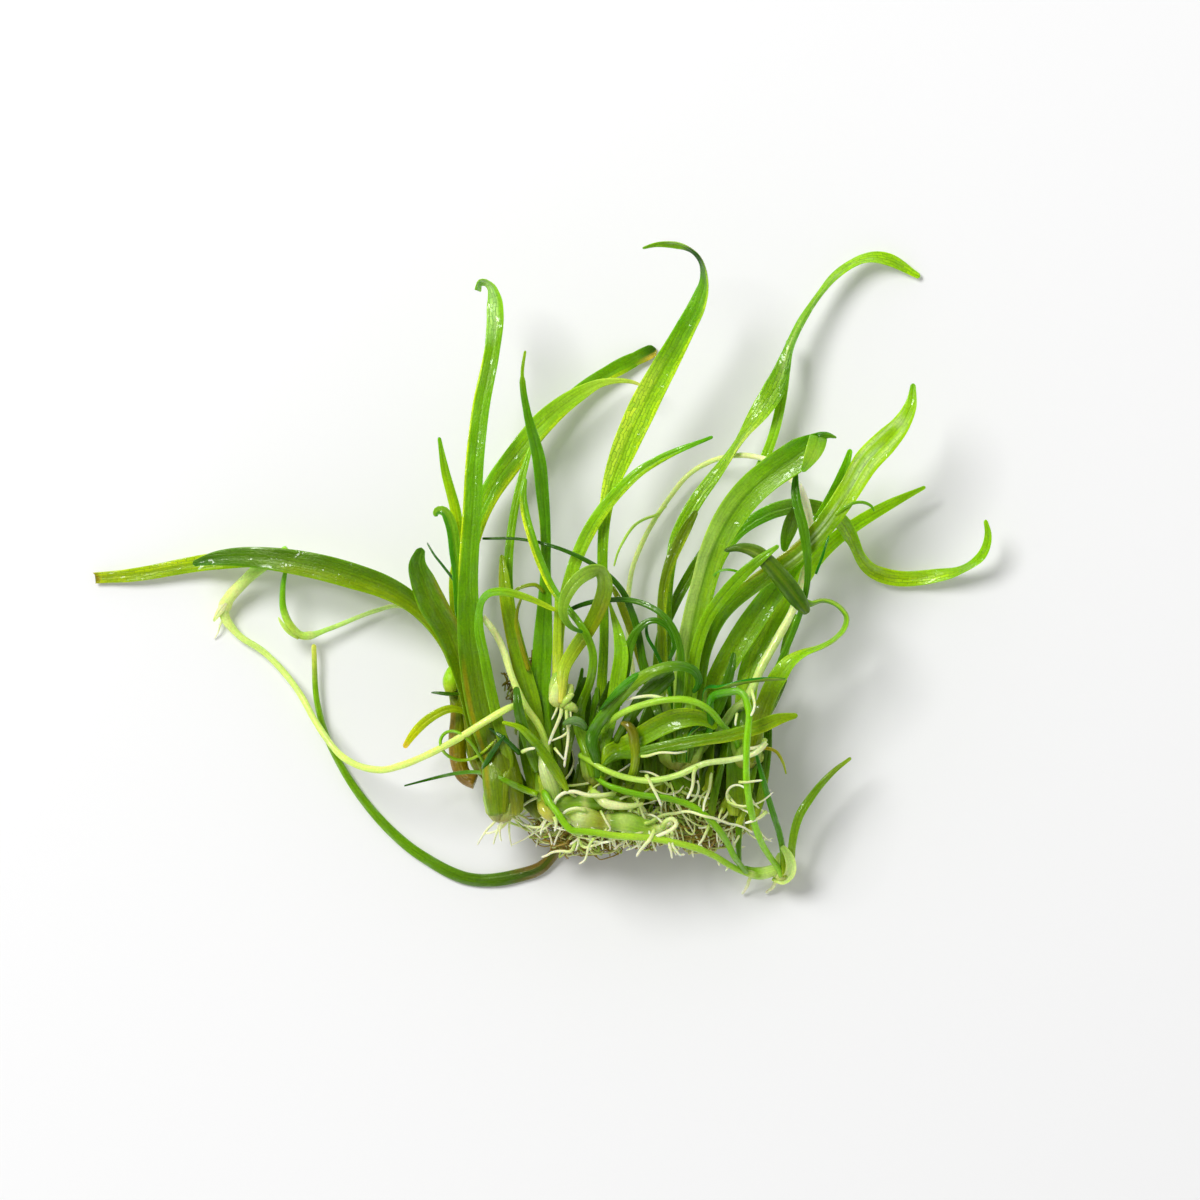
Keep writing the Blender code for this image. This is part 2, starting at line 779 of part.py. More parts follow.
piece(
    "right_leaf_s_curve",
    "mid_leaf",
    [
        (98.4, 52.0, 4.2, 0.3),
        (98.7, 53.5, 3.7, 0.8),
        (98.2, 55.4, 3.0, 1.0, 25),
        (96.8, 56.7, 2.3, 1.2, 60),
        (94.6, 57.4, 1.6, 1.4, 30),
        (92.0, 57.8, 1.1, 1.5),
        (89.4, 57.8, 1.0, 1.6),
        (87.2, 57.0, 1.4, 1.6, -20),
        (86.0, 55.6, 2.6, 1.6, -55),
        (85.2, 54.0, 4.2, 1.6, -35),
        (83.8, 52.0, 5.8, 1.6),
        (81.6, 50.9, 6.6, 1.6),
        (79.0, 50.7, 7.0, 1.6),
        (76.2, 51.6, 7.0, 1.5),
        (73.8, 53.3, 6.8, 1.1),
        (72.2, 55.6, 6.4, 0.9),
        (70.8, 59.6, 6.0, 1.0),
        (69.8, 66.0, 5.6, 1.1),
        (69.2, 72.6, 5.2, 1.1),
    ],
    ["crown_right"],
)
piece(
    "right_leaf_upright",
    "mid_leaf",
    [
        (84.9, 45.0, 8.4, 0.4),
        (84.3, 47.0, 8.4, 1.0),
        (83.3, 49.6, 8.3, 1.5),
        (81.7, 52.6, 8.2, 1.7),
        (79.6, 55.8, 8.0, 1.8),
        (77.2, 59.2, 7.7, 2.2),
        (74.9, 62.5, 7.4, 2.6),
        (72.6, 66.2, 7.0, 2.4),
        (70.8, 69.8, 6.7, 2.0),
        (69.8, 72.8, 6.4, 1.7),
    ],
    ["crown_right"],
)
piece(
    "right_leaf_long",
    "olive_leaf",
    [
        (91.1, 38.5, 9.6, 0.4),
        (90.9, 40.4, 9.8, 1.0),
        (89.9, 42.5, 10.1, 1.5),
        (88.3, 44.3, 10.4, 2.1),
        (86.4, 46.3, 10.7, 2.1),
        (84.9, 48.8, 10.9, 1.7),
        (83.2, 51.3, 11.0, 1.8),
        (80.9, 54.2, 10.9, 2.0),
        (78.0, 56.6, 10.6, 1.7),
        (74.8, 58.8, 10.2, 1.7),
        (72.2, 61.1, 9.6, 1.7),
        (70.5, 64.2, 8.8, 1.7),
        (69.8, 68.0, 8.2, 1.6),
        (69.2, 72.8, 7.6, 1.4),
    ],
    ["crown_right"],
)
piece(
    "right_leaf_dark_thin",
    "dark_leaf",
    [
        (79.5, 46.4, 11.6, 0.4),
        (79.3, 48.6, 11.9, 0.8),
        (79.9, 51.6, 12.2, 0.9),
        (80.4, 54.4, 12.2, 0.8),
        (80.6, 57.2, 11.6, 0.7),
        (80.2, 60.2, 10.6, 0.7),
        (79.0, 63.4, 9.8, 0.8),
        (77.4, 67.4, 9.0, 0.9),
        (75.6, 72.2, 7.6, 0.9),
    ],
    ["crown_far_right"],
)
piece(
    "right_leaf_thick",
    "mid_leaf",
    [
        (83.3, 43.9, 13.8, 0.4),
        (82.4, 43.7, 14.0, 0.9),
        (81.3, 44.3, 14.0, 2.2),
        (79.6, 45.6, 13.8, 3.0),
        (77.0, 47.4, 13.4, 3.1),
        (74.6, 49.5, 13.0, 3.1),
        (72.8, 51.9, 12.4, 3.0),
        (71.3, 54.8, 11.8, 2.6),
        (70.2, 58.2, 11.0, 2.2),
        (69.3, 62.0, 10.2, 2.3),
        (68.6, 66.4, 9.6, 2.5),
        (68.3, 72.2, 8.8, 2.0),
    ],
    ["crown_right"],
)
piece(
    "right_leaf_looped",
    "dark_leaf",
    [
        (72.3, 55.1, 11.4, 0.4),
        (73.8, 54.9, 11.6, 0.9),
        (75.4, 55.4, 11.8, 1.5),
        (76.8, 56.6, 12.2, 1.9),
        (78.3, 58.3, 12.4, 2.2),
        (79.6, 59.8, 12.2, 2.2, 15),
        (80.8, 60.4, 11.6, 1.9, 55),
        (82.3, 60.1, 10.8, 1.6, 78),
        (83.8, 60.8, 10.2, 1.5, 80),
        (84.5, 62.0, 9.9, 1.5, 78),
        (83.8, 63.4, 9.8, 1.5, 72),
        (82.2, 64.5, 9.9, 1.5, 70),
        (80.0, 65.4, 10.0, 1.6, 65),
        (78.4, 66.6, 9.8, 1.8, 20),
        (77.0, 69.2, 9.4, 1.9),
        (75.4, 72.6, 8.2, 1.7),
    ],
    ["crown_far_right"],
)
piece(
    "right_leaf_pointed",
    "mid_leaf",
    [
        (77.7, 54.6, 13.2, 0.3),
        (76.2, 55.7, 13.2, 0.9),
        (74.4, 57.2, 12.8, 1.2),
        (72.6, 59.1, 12.2, 1.3),
        (71.0, 61.2, 11.4, 1.2),
        (69.8, 64.0, 11.0, 1.2),
        (69.2, 67.6, 10.6, 1.2),
        (68.8, 72.4, 10.0, 1.1),
    ],
    ["crown_right"],
)

# Low leaves at the front
piece(
    "front_leaf_short",
    "dark_leaf",
    [
        (73.3, 65.2, 10.6, 0.3),
        (73.0, 66.8, 10.7, 1.0),
        (72.4, 68.8, 10.4, 1.1),
        (71.6, 71.0, 9.8, 1.0),
        (70.2, 73.2, 9.2, 0.9),
    ],
    ["crown_right"],
)
piece(
    "front_leaf_fine",
    "dark_leaf",
    [
        (78.4, 67.8, 12.4, 0.3),
        (76.4, 67.8, 12.8, 0.5),
        (74.0, 68.1, 13.0, 0.55),
        (72.2, 68.7, 12.8, 0.6),
        (70.9, 70.0, 11.8, 0.6),
        (69.9, 72.8, 10.4, 0.6),
    ],
    ["crown_right"],
)
piece(
    "front_leaf_broad",
    "mid_leaf",
    [
        (71.6, 72.7, 11.4, 0.4),
        (70.2, 71.8, 11.8, 1.5),
        (67.6, 71.8, 12.0, 2.2),
        (64.8, 73.1, 11.4, 2.1),
        (62.4, 74.4, 10.0, 1.6),
        (60.4, 75.2, 8.2, 1.3),
    ],
    ["crown_centre"],
)
piece(
    "front_leaf_arch",
    "dark_leaf",
    [
        (69.2, 69.2, 13.2, 0.3),
        (69.8, 68.2, 13.8, 0.8),
        (69.3, 67.0, 14.6, 1.0, 20),
        (67.8, 66.5, 15.0, 1.0, 20),
        (65.8, 66.8, 15.0, 1.1, 15),
        (63.8, 67.9, 14.4, 1.2),
        (62.0, 69.6, 13.2, 1.3),
        (60.6, 71.6, 11.4, 1.3),
        (59.8, 74.6, 8.4, 1.2),
    ],
    ["crown_centre"],
)
piece(
    "runner_over_front",
    "pale_runner",
    [
        (60.0, 73.0, 9.6, 0.7),
        (61.4, 71.6, 12.0, 0.7),
        (63.8, 70.5, 14.0, 0.7),
        (66.4, 69.9, 14.8, 0.75),
        (68.8, 69.9, 14.9, 0.75),
        (70.6, 70.7, 14.2, 0.7),
        (71.8, 72.0, 13.0, 0.7),
        (72.8, 73.2, 11.4, 0.7),
        (74.2, 74.2, 9.4, 0.7),
    ],
    ["crown_centre", "crown_far_right"],
    tube=True,
)
piece(
    "front_leaf_low_right",
    "mid_leaf",
    [
        (79.6, 71.4, 12.6, 0.3),
        (78.0, 71.7, 12.8, 1.1),
        (75.6, 72.6, 13.0, 1.7),
        (72.4, 73.5, 13.0, 1.75),
        (69.0, 74.0, 12.8, 1.7),
        (66.0, 74.6, 12.0, 1.5),
        (63.0, 75.3, 10.4, 1.2),
        (60.4, 75.6, 8.4, 1.1),
    ],
    ["crown_centre"],
)

# Pieces that lie in front of the roots
piece(
    "middle_leaf_low",
    "mid_leaf",
    [
        (50.3, 72.1, 12.6, 0.4),
        (51.8, 72.5, 12.4, 0.7),
        (53.3, 73.8, 12.0, 1.0),
        (54.7, 75.6, 11.6, 1.3),
        (56.0, 77.6, 11.2, 1.6),
        (56.8, 79.0, 10.8, 1.5),
    ],
)
piece(
    "rhizome_front",
    "crown_tissue",
    [
        (56.6, 80.9, 8.8, 1.3),
        (57.6, 81.4, 8.9, 2.3),
        (59.2, 81.9, 9.0, 2.8),
        (60.9, 82.3, 8.9, 2.0),
        (62.6, 82.5, 8.8, 2.2),
        (64.6, 82.6, 8.6, 2.2),
        (66.0, 82.4, 8.6, 1.2),
        (67.2, 81.9, 8.8, 0.7),
    ],
    tube=True,
)
piece(
    "runner_centre",
    "pale_runner",
    [
        (60.4, 76.8, 10.7, 0.7),
        (62.0, 77.4, 10.9, 0.75),
        (64.6, 77.9, 11.2, 0.75),
        (67.2, 77.5, 11.6, 0.75),
        (70.4, 76.2, 11.8, 0.75),
        (73.6, 75.7, 11.8, 0.7),
        (75.6, 75.0, 11.8, 0.7),
        (76.5, 74.1, 11.8, 0.6),
    ],
    tube=True,
)
piece(
    "runner_front",
    "mid_leaf",
    [
        (53.4, 78.8, 9.6, 0.8),
        (54.6, 80.4, 10.6, 0.9),
        (56.2, 82.2, 11.2, 0.95),
        (58.2, 83.4, 11.2, 0.95),
        (62.0, 83.8, 10.8, 0.95),
        (66.4, 84.1, 9.8, 0.95),
        (69.6, 84.7, 8.4, 0.9),
        (72.2, 85.9, 6.2, 0.85),
        (74.4, 87.1, 4.2, 0.85),
        (76.4, 87.4, 3.0, 0.9),
        (78.0, 86.8, 2.4, 0.9),
    ],
    ["crown_offset", "crown_middle"],
    tube=True,
)
piece(
    "runner_front_upper",
    "mid_leaf",
    [
        (60.4, 78.2, 9.8, 0.9),
        (62.6, 79.0, 10.6, 1.0),
        (65.6, 79.6, 10.8, 1.0),
        (68.4, 80.1, 10.6, 1.0),
        (70.6, 81.5, 10.0, 0.95),
        (72.2, 83.4, 8.8, 0.9),
        (73.4, 85.6, 7.2, 0.8),
    ],
    tube=True,
)
piece(
    "runner_to_offset",
    "fresh_leaf",
    [
        (72.0, 70.6, 13.4, 0.7),
        (72.8, 69.4, 14.2, 0.75),
        (73.9, 69.1, 14.8, 0.75),
        (74.6, 70.4, 15.2, 0.75),
        (74.5, 74.0, 15.2, 0.75),
        (74.5, 77.8, 13.6, 0.75),
        (75.0, 81.0, 11.2, 0.75),
        (76.0, 84.0, 7.8, 0.75),
        (77.5, 86.4, 3.4, 0.7),
    ],
    ["crown_offset"],
    tube=True,
)
piece(
    "offset_leaf_dark",
    "dark_leaf",
    [
        (75.5, 75.3, 9.4, 0.3),
        (76.3, 78.2, 9.0, 0.6),
        (77.0, 80.6, 7.6, 0.6),
        (77.9, 83.4, 5.2, 0.65),
        (78.4, 86.2, 2.8, 0.6),
    ],
    ["crown_offset"],
)
piece(
    "offset_leaf_pointed",
    "mid_leaf",
    [
        (85.0, 75.7, 5.6, 0.3),
        (83.0, 77.3, 5.6, 0.6),
        (81.2, 79.4, 5.4, 0.8),
        (79.8, 81.6, 5.0, 0.9),
        (79.2, 84.0, 4.0, 0.8),
        (79.0, 86.4, 2.6, 0.7),
    ],
    ["crown_offset"],
)
piece(
    "runner_left",
    "pale_runner",
    [
        (28.8, 54.8, 4.2, 0.5),
        (27.6, 55.8, 3.9, 1.1),
        (25.4, 57.3, 3.2, 1.2),
        (23.6, 59.2, 2.2, 1.1),
        (22.4, 61.2, 1.2, 1.2),
        (23.4, 63.0, 0.8, 0.7),
        (26.4, 65.2, 1.0, 0.65),
        (29.4, 68.4, 1.8, 0.65),
        (31.8, 72.4, 3.2, 0.65),
        (34.6, 75.8, 5.0, 0.7),
        (38.0, 76.9, 7.2, 0.7),
        (42.0, 75.7, 9.6, 0.7),
        (46.0, 73.7, 11.8, 0.7),
        (49.0, 71.8, 12.4, 0.7),
        (51.2, 70.6, 12.2, 0.7),
    ],
    tube=True,
)
piece(
    "leaf_low_left",
    "mid_leaf",
    [
        (31.4, 64.4, 1.6, 0.5),
        (31.6, 68.0, 1.4, 0.6),
        (32.0, 71.6, 1.2, 0.65),
        (33.6, 75.6, 0.9, 0.7),
        (37.0, 80.8, 0.6, 0.9),
        (42.2, 85.6, 0.4, 1.1),
        (47.6, 88.0, 0.4, 1.3),
        (51.6, 87.6, 0.5, 1.4),
        (54.0, 86.8, 0.6, 1.3),
    ],
)
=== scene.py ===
import bmesh
import bpy
import numpy as np
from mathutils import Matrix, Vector, bvhtree


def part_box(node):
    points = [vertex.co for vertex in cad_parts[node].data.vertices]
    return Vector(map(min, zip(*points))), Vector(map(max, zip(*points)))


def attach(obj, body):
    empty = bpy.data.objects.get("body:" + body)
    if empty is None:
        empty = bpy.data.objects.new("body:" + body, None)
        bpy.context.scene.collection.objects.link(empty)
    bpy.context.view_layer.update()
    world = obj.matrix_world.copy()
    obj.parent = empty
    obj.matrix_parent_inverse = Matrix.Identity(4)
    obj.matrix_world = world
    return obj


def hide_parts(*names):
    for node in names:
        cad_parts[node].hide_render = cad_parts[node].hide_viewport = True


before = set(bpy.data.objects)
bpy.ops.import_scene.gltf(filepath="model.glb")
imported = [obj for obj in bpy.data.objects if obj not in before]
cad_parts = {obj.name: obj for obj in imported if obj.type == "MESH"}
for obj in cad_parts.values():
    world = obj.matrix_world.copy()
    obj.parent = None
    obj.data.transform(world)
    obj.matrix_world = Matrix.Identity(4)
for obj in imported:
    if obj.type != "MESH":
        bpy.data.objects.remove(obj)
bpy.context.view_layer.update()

# Crowns
# Each rosette grows from a crown, a short swollen stem wrapped in the bases of its older leaves. The tissue
# is firm and pale, green above, where the light reaches it, and whitish to brown below, where the roots
# come out.
MM = 0.001
CROWN_RINGS, CROWN_AROUND = 44, 72
CROWN_SLIM = 0.86  # the wrapped leaf bases make up the rest of its thickness
# Its radius at each height, in half sizes of its box
CROWN_OUTLINE = {-1: 0.15, -0.93: 0.5, -0.7: 0.85, -0.3: 1, 0.2: 0.93, 0.65: 0.72, 0.9: 0.5, 1: 0.12}
WRAPS, WRAP_CLIMB = 3, 1.3  # leaf bases wrapped round it, and how far they wind on their way up
WRAP_STEP = 0.12  # how far each stands proud of the next
SEAM_PLACE, SEAM_WIDTH, SEAM_DEPTH = 0.02, 0.05, 0.05  # the furrow between two of them
RIBS, RIB_DEPTH, RIB_LEAN = 11, 0.03, 5  # fine ribs along them
WRAP_SHADE_DARK, WRAP_SHADE_LIGHT = 0.7, 0.35  # painted shade: a base is painted darker where it comes out from under the next one
CROWN_TONES = {
    0: (150, 140, 65),
    0.08: (165, 175, 85),
    0.25: (165, 200, 95),
    0.5: (130, 180, 45),
    0.75: (100, 155, 18),
    1: (80, 130, 8),
}
PALE_TONES = {0: (200, 215, 120), 0.3: (218, 235, 165), 0.7: (190, 222, 120), 1: (140, 195, 60)}
CELLS_SEEN = 0.3  # how plainly the cells show where a skin names no other share


def paint(colour):
    """A colour as it looks on screen, 0 to 255, as linear light."""
    return (np.array(colour) / 255) ** 2.2


def blend_tones(tones, share):
    """The colour at each share of a piece's length, from colours named along it."""
    places = sorted(tones)
    listed = np.array([paint(tones[place]) for place in places])
    return np.stack([np.interp(share, places, listed[:, i]) for i in range(3)], axis=-1)


def unit(vectors):
    """Vectors of length one in the same directions."""
    return vectors / np.linalg.norm(vectors, axis=-1, keepdims=True)


def shade(material, kind, inputs=(), **settings):
    """A shader node with its settings. Each input is a plain value or another node's output."""
    made = material.node_tree.nodes.new(kind)
    for key, value in settings.items():
        setattr(made, key, value)
    for key, value in dict(inputs).items():
        if isinstance(value, bpy.types.NodeSocket):
            material.node_tree.links.new(value, made.inputs[key])
        else:
            made.inputs[key].default_value = value
    return made


def times(material, first, second, share=1.0):
    """One colour multiplied by another, by the given share."""
    settings = {"data_type": "RGBA", "blend_type": "MULTIPLY", "clamp_factor": False}
    return shade(material, "ShaderNodeMix", {0: share, 6: first, 7: second}, **settings).outputs[2]


def between(material, value, low, high, start=0.0, end=1.0):
    """A value from start to end spread over another range."""
    ends = {1: start, 2: end, 3: low, 4: high}
    return shade(material, "ShaderNodeMapRange", {0: value, **ends}).outputs[0]


def noise(material, place, scale, detail):
    """The outputs of a soft noise over a place."""
    return shade(material, "ShaderNodeTexNoise", {"Vector": place, "Scale": scale, "Detail": detail}).outputs


def joined(material, operation, *values, kind="ShaderNodeMath"):
    """Values put together by one operation."""
    return shade(material, kind, dict(enumerate(values)), operation=operation).outputs[0]


def bumpy(material, height, strength, distance):
    """A surface raised by a height."""
    inputs = {"Height": height, "Strength": strength, "Distance": distance}
    return shade(material, "ShaderNodeBump", inputs).outputs[0]


# The tissue's own pattern, in millimetres. A tone here is a factor on the colour of the piece.
CELL_TONES = {
    "Color1": (1.35, 1.25, 1.0, 1),
    "Color2": (0.8, 0.88, 0.75, 1),
    "Mortar": (0.36, 0.54, 0.25, 1),
}
CELL_ROW, CELL_WALL, WALL_SOFTNESS = 0.31, 0.045, 0.8
WAVER, WAVER_PULL = 1.2, 0.45  # how often the rows of cells waver, and how far
STREAKS_DRAWN, WATER_DRAWN = (0.35, 7.0, 1.0), (0.5, 1.7, 1.0)  # both are drawn out along the piece
BLOTCHES, RIPPLES, GRAIN = 420.0, 1500.0, 4200.0  # to a metre
STREAK_TONE, BLOTCH_TONE, GRAIN_TONE = (0.72, 1.28), (0.76, 1.24), (0.8, 1.2)
MARGIN_TONE, MARGIN_PLACE = (1.0, 1.22), (0.8, 1.0)  # places are shares of the half width
MIDRIB_TONE, MIDRIB_PLACE = (0.86, 1.0), (0.03, 0.13)
GLOSSIER, DULLER = 0.08, 0.14  # how far the roughness strays from the piece's own
WATER_EDGE, DRY_COAT = (0.5, 0.6), 0.05  # where a patch of water ends, and the gloss beside it
TISSUE_IOR, WATER_FILM_IOR, WATER_ROUGHNESS = 1.38, 1.5, 0.06
GREEN_GLINT = (0.92, 1.0, 0.55, 1)
VEIN_RELIEF, WATER_RELIEF = (0.6, 0.05 * MM), (0.7, 0.2 * MM)  # strength and height
LIGHT_REACH, LIGHT_DEPTH = (0.55, 1.0, 0.12), 0.7 * MM  # green light travels furthest through the tissue


def living_skin(name, long_cells, depth, gloss, glow, wet, tint):
    """Wet plant tissue: the piece's own colours, broken up by cells and blotches, with light let through.

    The place of a point on its piece is its distance across and along in millimetres, and its share across.
    """
    made = bpy.data.materials.new(name)
    made.use_nodes = True
    painted = shade(made, "ShaderNodeAttribute", attribute_name="tone").outputs
    place = shade(made, "ShaderNodeAttribute", attribute_name="place").outputs["Vector"]
    across, along, edge = shade(made, "ShaderNodeSeparateXYZ", {0: place}).outputs
    laid = shade(made, "ShaderNodeCombineXYZ", {0: along, 1: across}).outputs[0]
    waver = noise(made, laid, WAVER, 2.0)["Color"]
    pull = shade(made, "ShaderNodeVectorMath", {0: waver, "Scale": WAVER_PULL}, operation="SCALE").outputs[0]
    bent = joined(made, "ADD", laid, pull, kind="ShaderNodeVectorMath")
    walls = {"Mortar Size": CELL_WALL, "Mortar Smooth": WALL_SOFTNESS}
    sizes = {"Scale": 1.0, "Brick Width": long_cells, "Row Height": CELL_ROW}
    cells = shade(made, "ShaderNodeTexBrick", {"Vector": bent, **CELL_TONES, **walls, **sizes}).outputs
    drawn_out = joined(made, "MULTIPLY", laid, STREAKS_DRAWN, kind="ShaderNodeVectorMath")
    streaks = noise(made, drawn_out, 1.0, 3.0)[0]
    spread = shade(made, "ShaderNodeTexCoord").outputs["Object"]
    blotches = noise(made, spread, BLOTCHES, 2.0)[0]
    grain = noise(made, spread, GRAIN, 1.0)[0]
    rim = joined(made, "ABSOLUTE", edge)
    margin = between(made, rim, *MARGIN_TONE, *MARGIN_PLACE)
    midrib = between(made, rim, *MIDRIB_TONE, *MIDRIB_PLACE)
    seen = joined(made, "MULTIPLY", painted["Alpha"], depth)
    colour = times(made, painted["Color"], cells["Color"], seen)
    factors = [tint]
    for pattern, tone in ((streaks, STREAK_TONE), (blotches, BLOTCH_TONE), (grain, GRAIN_TONE)):
        factors.append(between(made, pattern, *tone))
    for factor in (*factors, margin, midrib):
        colour = times(made, colour, factor)
    grooved = joined(made, "MULTIPLY", cells["Fac"], seen)
    veined = joined(made, "SUBTRACT", streaks, grooved)
    raised = bumpy(made, joined(made, "ADD", veined, grain), *VEIN_RELIEF)
    shader = made.node_tree.nodes["Principled BSDF"]
    link = made.node_tree.links.new
    link(colour, shader.inputs["Base Color"])
    link(raised, shader.inputs["Normal"])
    link(between(made, streaks, gloss - GLOSSIER, gloss + DULLER), shader.inputs["Roughness"])
    shader.inputs["IOR"].default_value = TISSUE_IOR
    shader.inputs["Specular Tint"].default_value = GREEN_GLINT
    stretched = joined(made, "MULTIPLY", laid, WATER_DRAWN, kind="ShaderNodeVectorMath")
    film = noise(made, stretched, 1.0, 2.0)[0]
    patches = between(made, film, DRY_COAT, wet, *WATER_EDGE)
    rippled = bumpy(made, noise(made, spread, RIPPLES, 1.0)[0], *WATER_RELIEF)
    link(patches, shader.inputs["Coat Weight"])
    link(rippled, shader.inputs["Coat Normal"])
    shader.inputs["Coat Roughness"].default_value = WATER_ROUGHNESS
    shader.inputs["Coat IOR"].default_value = WATER_FILM_IOR
    shader.inputs["Subsurface Weight"].default_value = glow
    shader.inputs["Subsurface Radius"].default_value = LIGHT_REACH
    shader.inputs["Subsurface Scale"].default_value = LIGHT_DEPTH
    return made


def grown(name, skins, finish, slot, *stands_for):
    """One piece of closed skins. A skin is rings of points in millimetres, their colours and places."""
    points, faces, tones, places = [], [], [], []
    start = 0
    for rings, tone, place in skins:
        count, around = rings.shape[:2]
        way = np.gradient(rings.mean(axis=1), axis=0)
        winding = np.cross(rings, np.roll(rings, -1, axis=1)).sum(axis=1)
        if (winding * way).sum() > 0:
            rings, tone, place = rings[:, ::-1], tone[:, ::-1], place[:, ::-1]
        ring = start + around * np.arange(count - 1)[:, None]
        here = np.arange(around)[None, :]
        beside = (here + 1) % around
        quads = np.stack([ring + here, ring + here + around, ring + beside + around, ring + beside], axis=-1)
        faces += quads.reshape(-1, 4).tolist()
        faces.append(list(range(start, start + around)))
        last = start + around * (count - 1)
        faces.append(list(range(last + around - 1, last - 1, -1)))
        start += count * around
        points.append(rings.reshape(-1, 3))
        if tone.shape[-1] == 3:
            tone = np.concatenate([tone, np.full(tone.shape[:2] + (1,), CELLS_SEEN)], axis=-1)
        tones.append(tone.reshape(-1, 4))
        places.append(place.reshape(-1, 3))
    mesh = bpy.data.meshes.new(name)
    mesh.from_pydata((np.concatenate(points) * MM).tolist(), [], faces)
    tone = np.concatenate(tones).astype(np.float32)
    mesh.color_attributes.new("tone", "FLOAT_COLOR", "POINT").data.foreach_set("color", tone.ravel())
    place = np.concatenate(places).astype(np.float32)
    mesh.attributes.new("place", "FLOAT_VECTOR", "POINT").data.foreach_set("vector", place.ravel())
    mesh.shade_smooth()
    mesh.materials.append(finish)
    made = bpy.data.objects.new(name, mesh)
    bpy.context.scene.collection.objects.link(made)
    if stands_for:
        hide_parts(*stands_for)
    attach(made, "root")
    return made


def node_space(node):
    """The middle of a CAD node's box and half its size, in millimetres."""
    low, high = (np.array(corner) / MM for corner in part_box(node))
    return (low + high) / 2, (high - low) / 2


def angles_round(count):
    """Evenly spaced angles round a ring."""
    return np.linspace(0, 2 * np.pi, count, endpoint=False)[None, :]


def crown_skin(node, turn, slim=CROWN_SLIM, tones=CROWN_TONES):
    """A bulb in the space of its CAD node, standing along the plant, with leaf bases wrapped round it."""
    centre, half = node_space(node)
    share = np.linspace(0, 1, CROWN_RINGS)[:, None]
    angle = angles_round(CROWN_AROUND)
    height = -np.cos(np.pi * share)
    radius = slim * np.interp(height, list(CROWN_OUTLINE), list(CROWN_OUTLINE.values()))
    wrap = (angle / (2 * np.pi) * WRAPS + share * WRAP_CLIMB + turn) % 1
    seam = SEAM_DEPTH * np.exp(-(((wrap - SEAM_PLACE) / SEAM_WIDTH) ** 2))
    radius = radius * (1 - WRAP_STEP + WRAP_STEP * wrap**1.5 - seam)
    radius = radius * (1 + RIB_DEPTH * np.sin(RIBS * angle + RIB_LEAN * share))
    across = centre[0] + half[0] * radius * np.cos(angle)
    upward = centre[2] + half[2] * radius * np.sin(angle)
    rings = np.stack([across, centre[1] + half[1] * height + 0 * angle, upward], axis=-1)
    # painted shade darkens each base where it comes out from under the next one
    tone = blend_tones(tones, (1 + height) / 2 + 0 * angle) * (WRAP_SHADE_DARK + WRAP_SHADE_LIGHT * wrap[..., None])
    place = np.stack([angle * half[0] + 0 * share, share * 2 * half[1] + 0 * angle, 0.5 + 0 * wrap], axis=-1)
    return rings, tone, place


crown_finish = living_skin(
    "crown_tissue", long_cells=1.6, depth=0.4, gloss=0.3, glow=0.35, wet=0.5, tint=(1.1, 1.05, 0.8, 1)
)
for index, side in enumerate(("left", "middle", "centre", "right", "far_right")):
    node = "crown_" + side
    grown(node + "_bulb", [crown_skin(node, index * 0.37)], crown_finish, "crown_tissue", node)
for node, slim in (("crown_offset", 1.1), ("crown_small", 1.3)):
    grown(node + "_bulb", [crown_skin(node, 0.2, slim, PALE_TONES)], crown_finish, "crown_tissue", node)

# Leaves of the left rosette
# Strap leaves of soft, half see-through tissue with a thin midrib and rows of long cells. Each is widest
# and rolled where it grips the crown, and flattens to a blade that ends in a blunt tip, here and there torn
# or brown.
SAME_POINT = 0.002
TIP_CORNERS, TIP_REACHES = (4, 6), (3.0, 1.5, 0.8)  # corners at the end of a CAD leaf, and how close
STATION_STEP = 0.28
TIP_STATIONS = (0.04, 0.1, 0.18)  # extra stations this close to the tip
THINNEST = 0.12
GRIP_INSIDE, GRIP_FOOT = (0.55, 0.25), (0.25, -0.7)  # where a base grips its crown, in half sizes of it
GRIP_RISE = {-1: -0.9, -0.3: -0.4, 0.15: 0.8, 1: 1.0}
GRIP_GAPS = 0.6, 0.8  # how far apart these points stay
ACROSS = 15
THICKNESS = {0: 0.62, 0.2: 0.4, 0.85: 0.4, 1: 0.2}  # at shares of a leaf's length
GRIP_LENGTH = 0.28  # share of a leaf that is rolled at its base
EDGE_BEATS = (3.5, 7.5)  # the edges ripple this often, in millimetres
VEINS, VEIN_WIDTH = (-0.62, -0.31, 0.31, 0.62), 0.06
VEIN_ABOVE, VEIN_BELOW = 0.14, 0.1
MIDRIB_WIDTH, MIDRIB_ABOVE, MIDRIB_BELOW = 0.16, 0.22, 0.3
MARK_FADE_ALONG, MARK_FADE_ACROSS = 0.05, 0.16
PALE_MARK = 330  # a mark whose colour adds up to more than this shows its cells in full
UNDERSIDE, UNDERSIDE_SHARE = (175, 210, 120), 0.25
ORIGIN = 54.28, 56.54  # the frame's origin on the sheet that the leaves and roots are laid out on


def on_sheet(point):
    """A point of that sheet, x to the right, y down and height in millimetres, in the frame."""
    return np.array([point[0] - ORIGIN[0], ORIGIN[1] - point[1], point[2]])


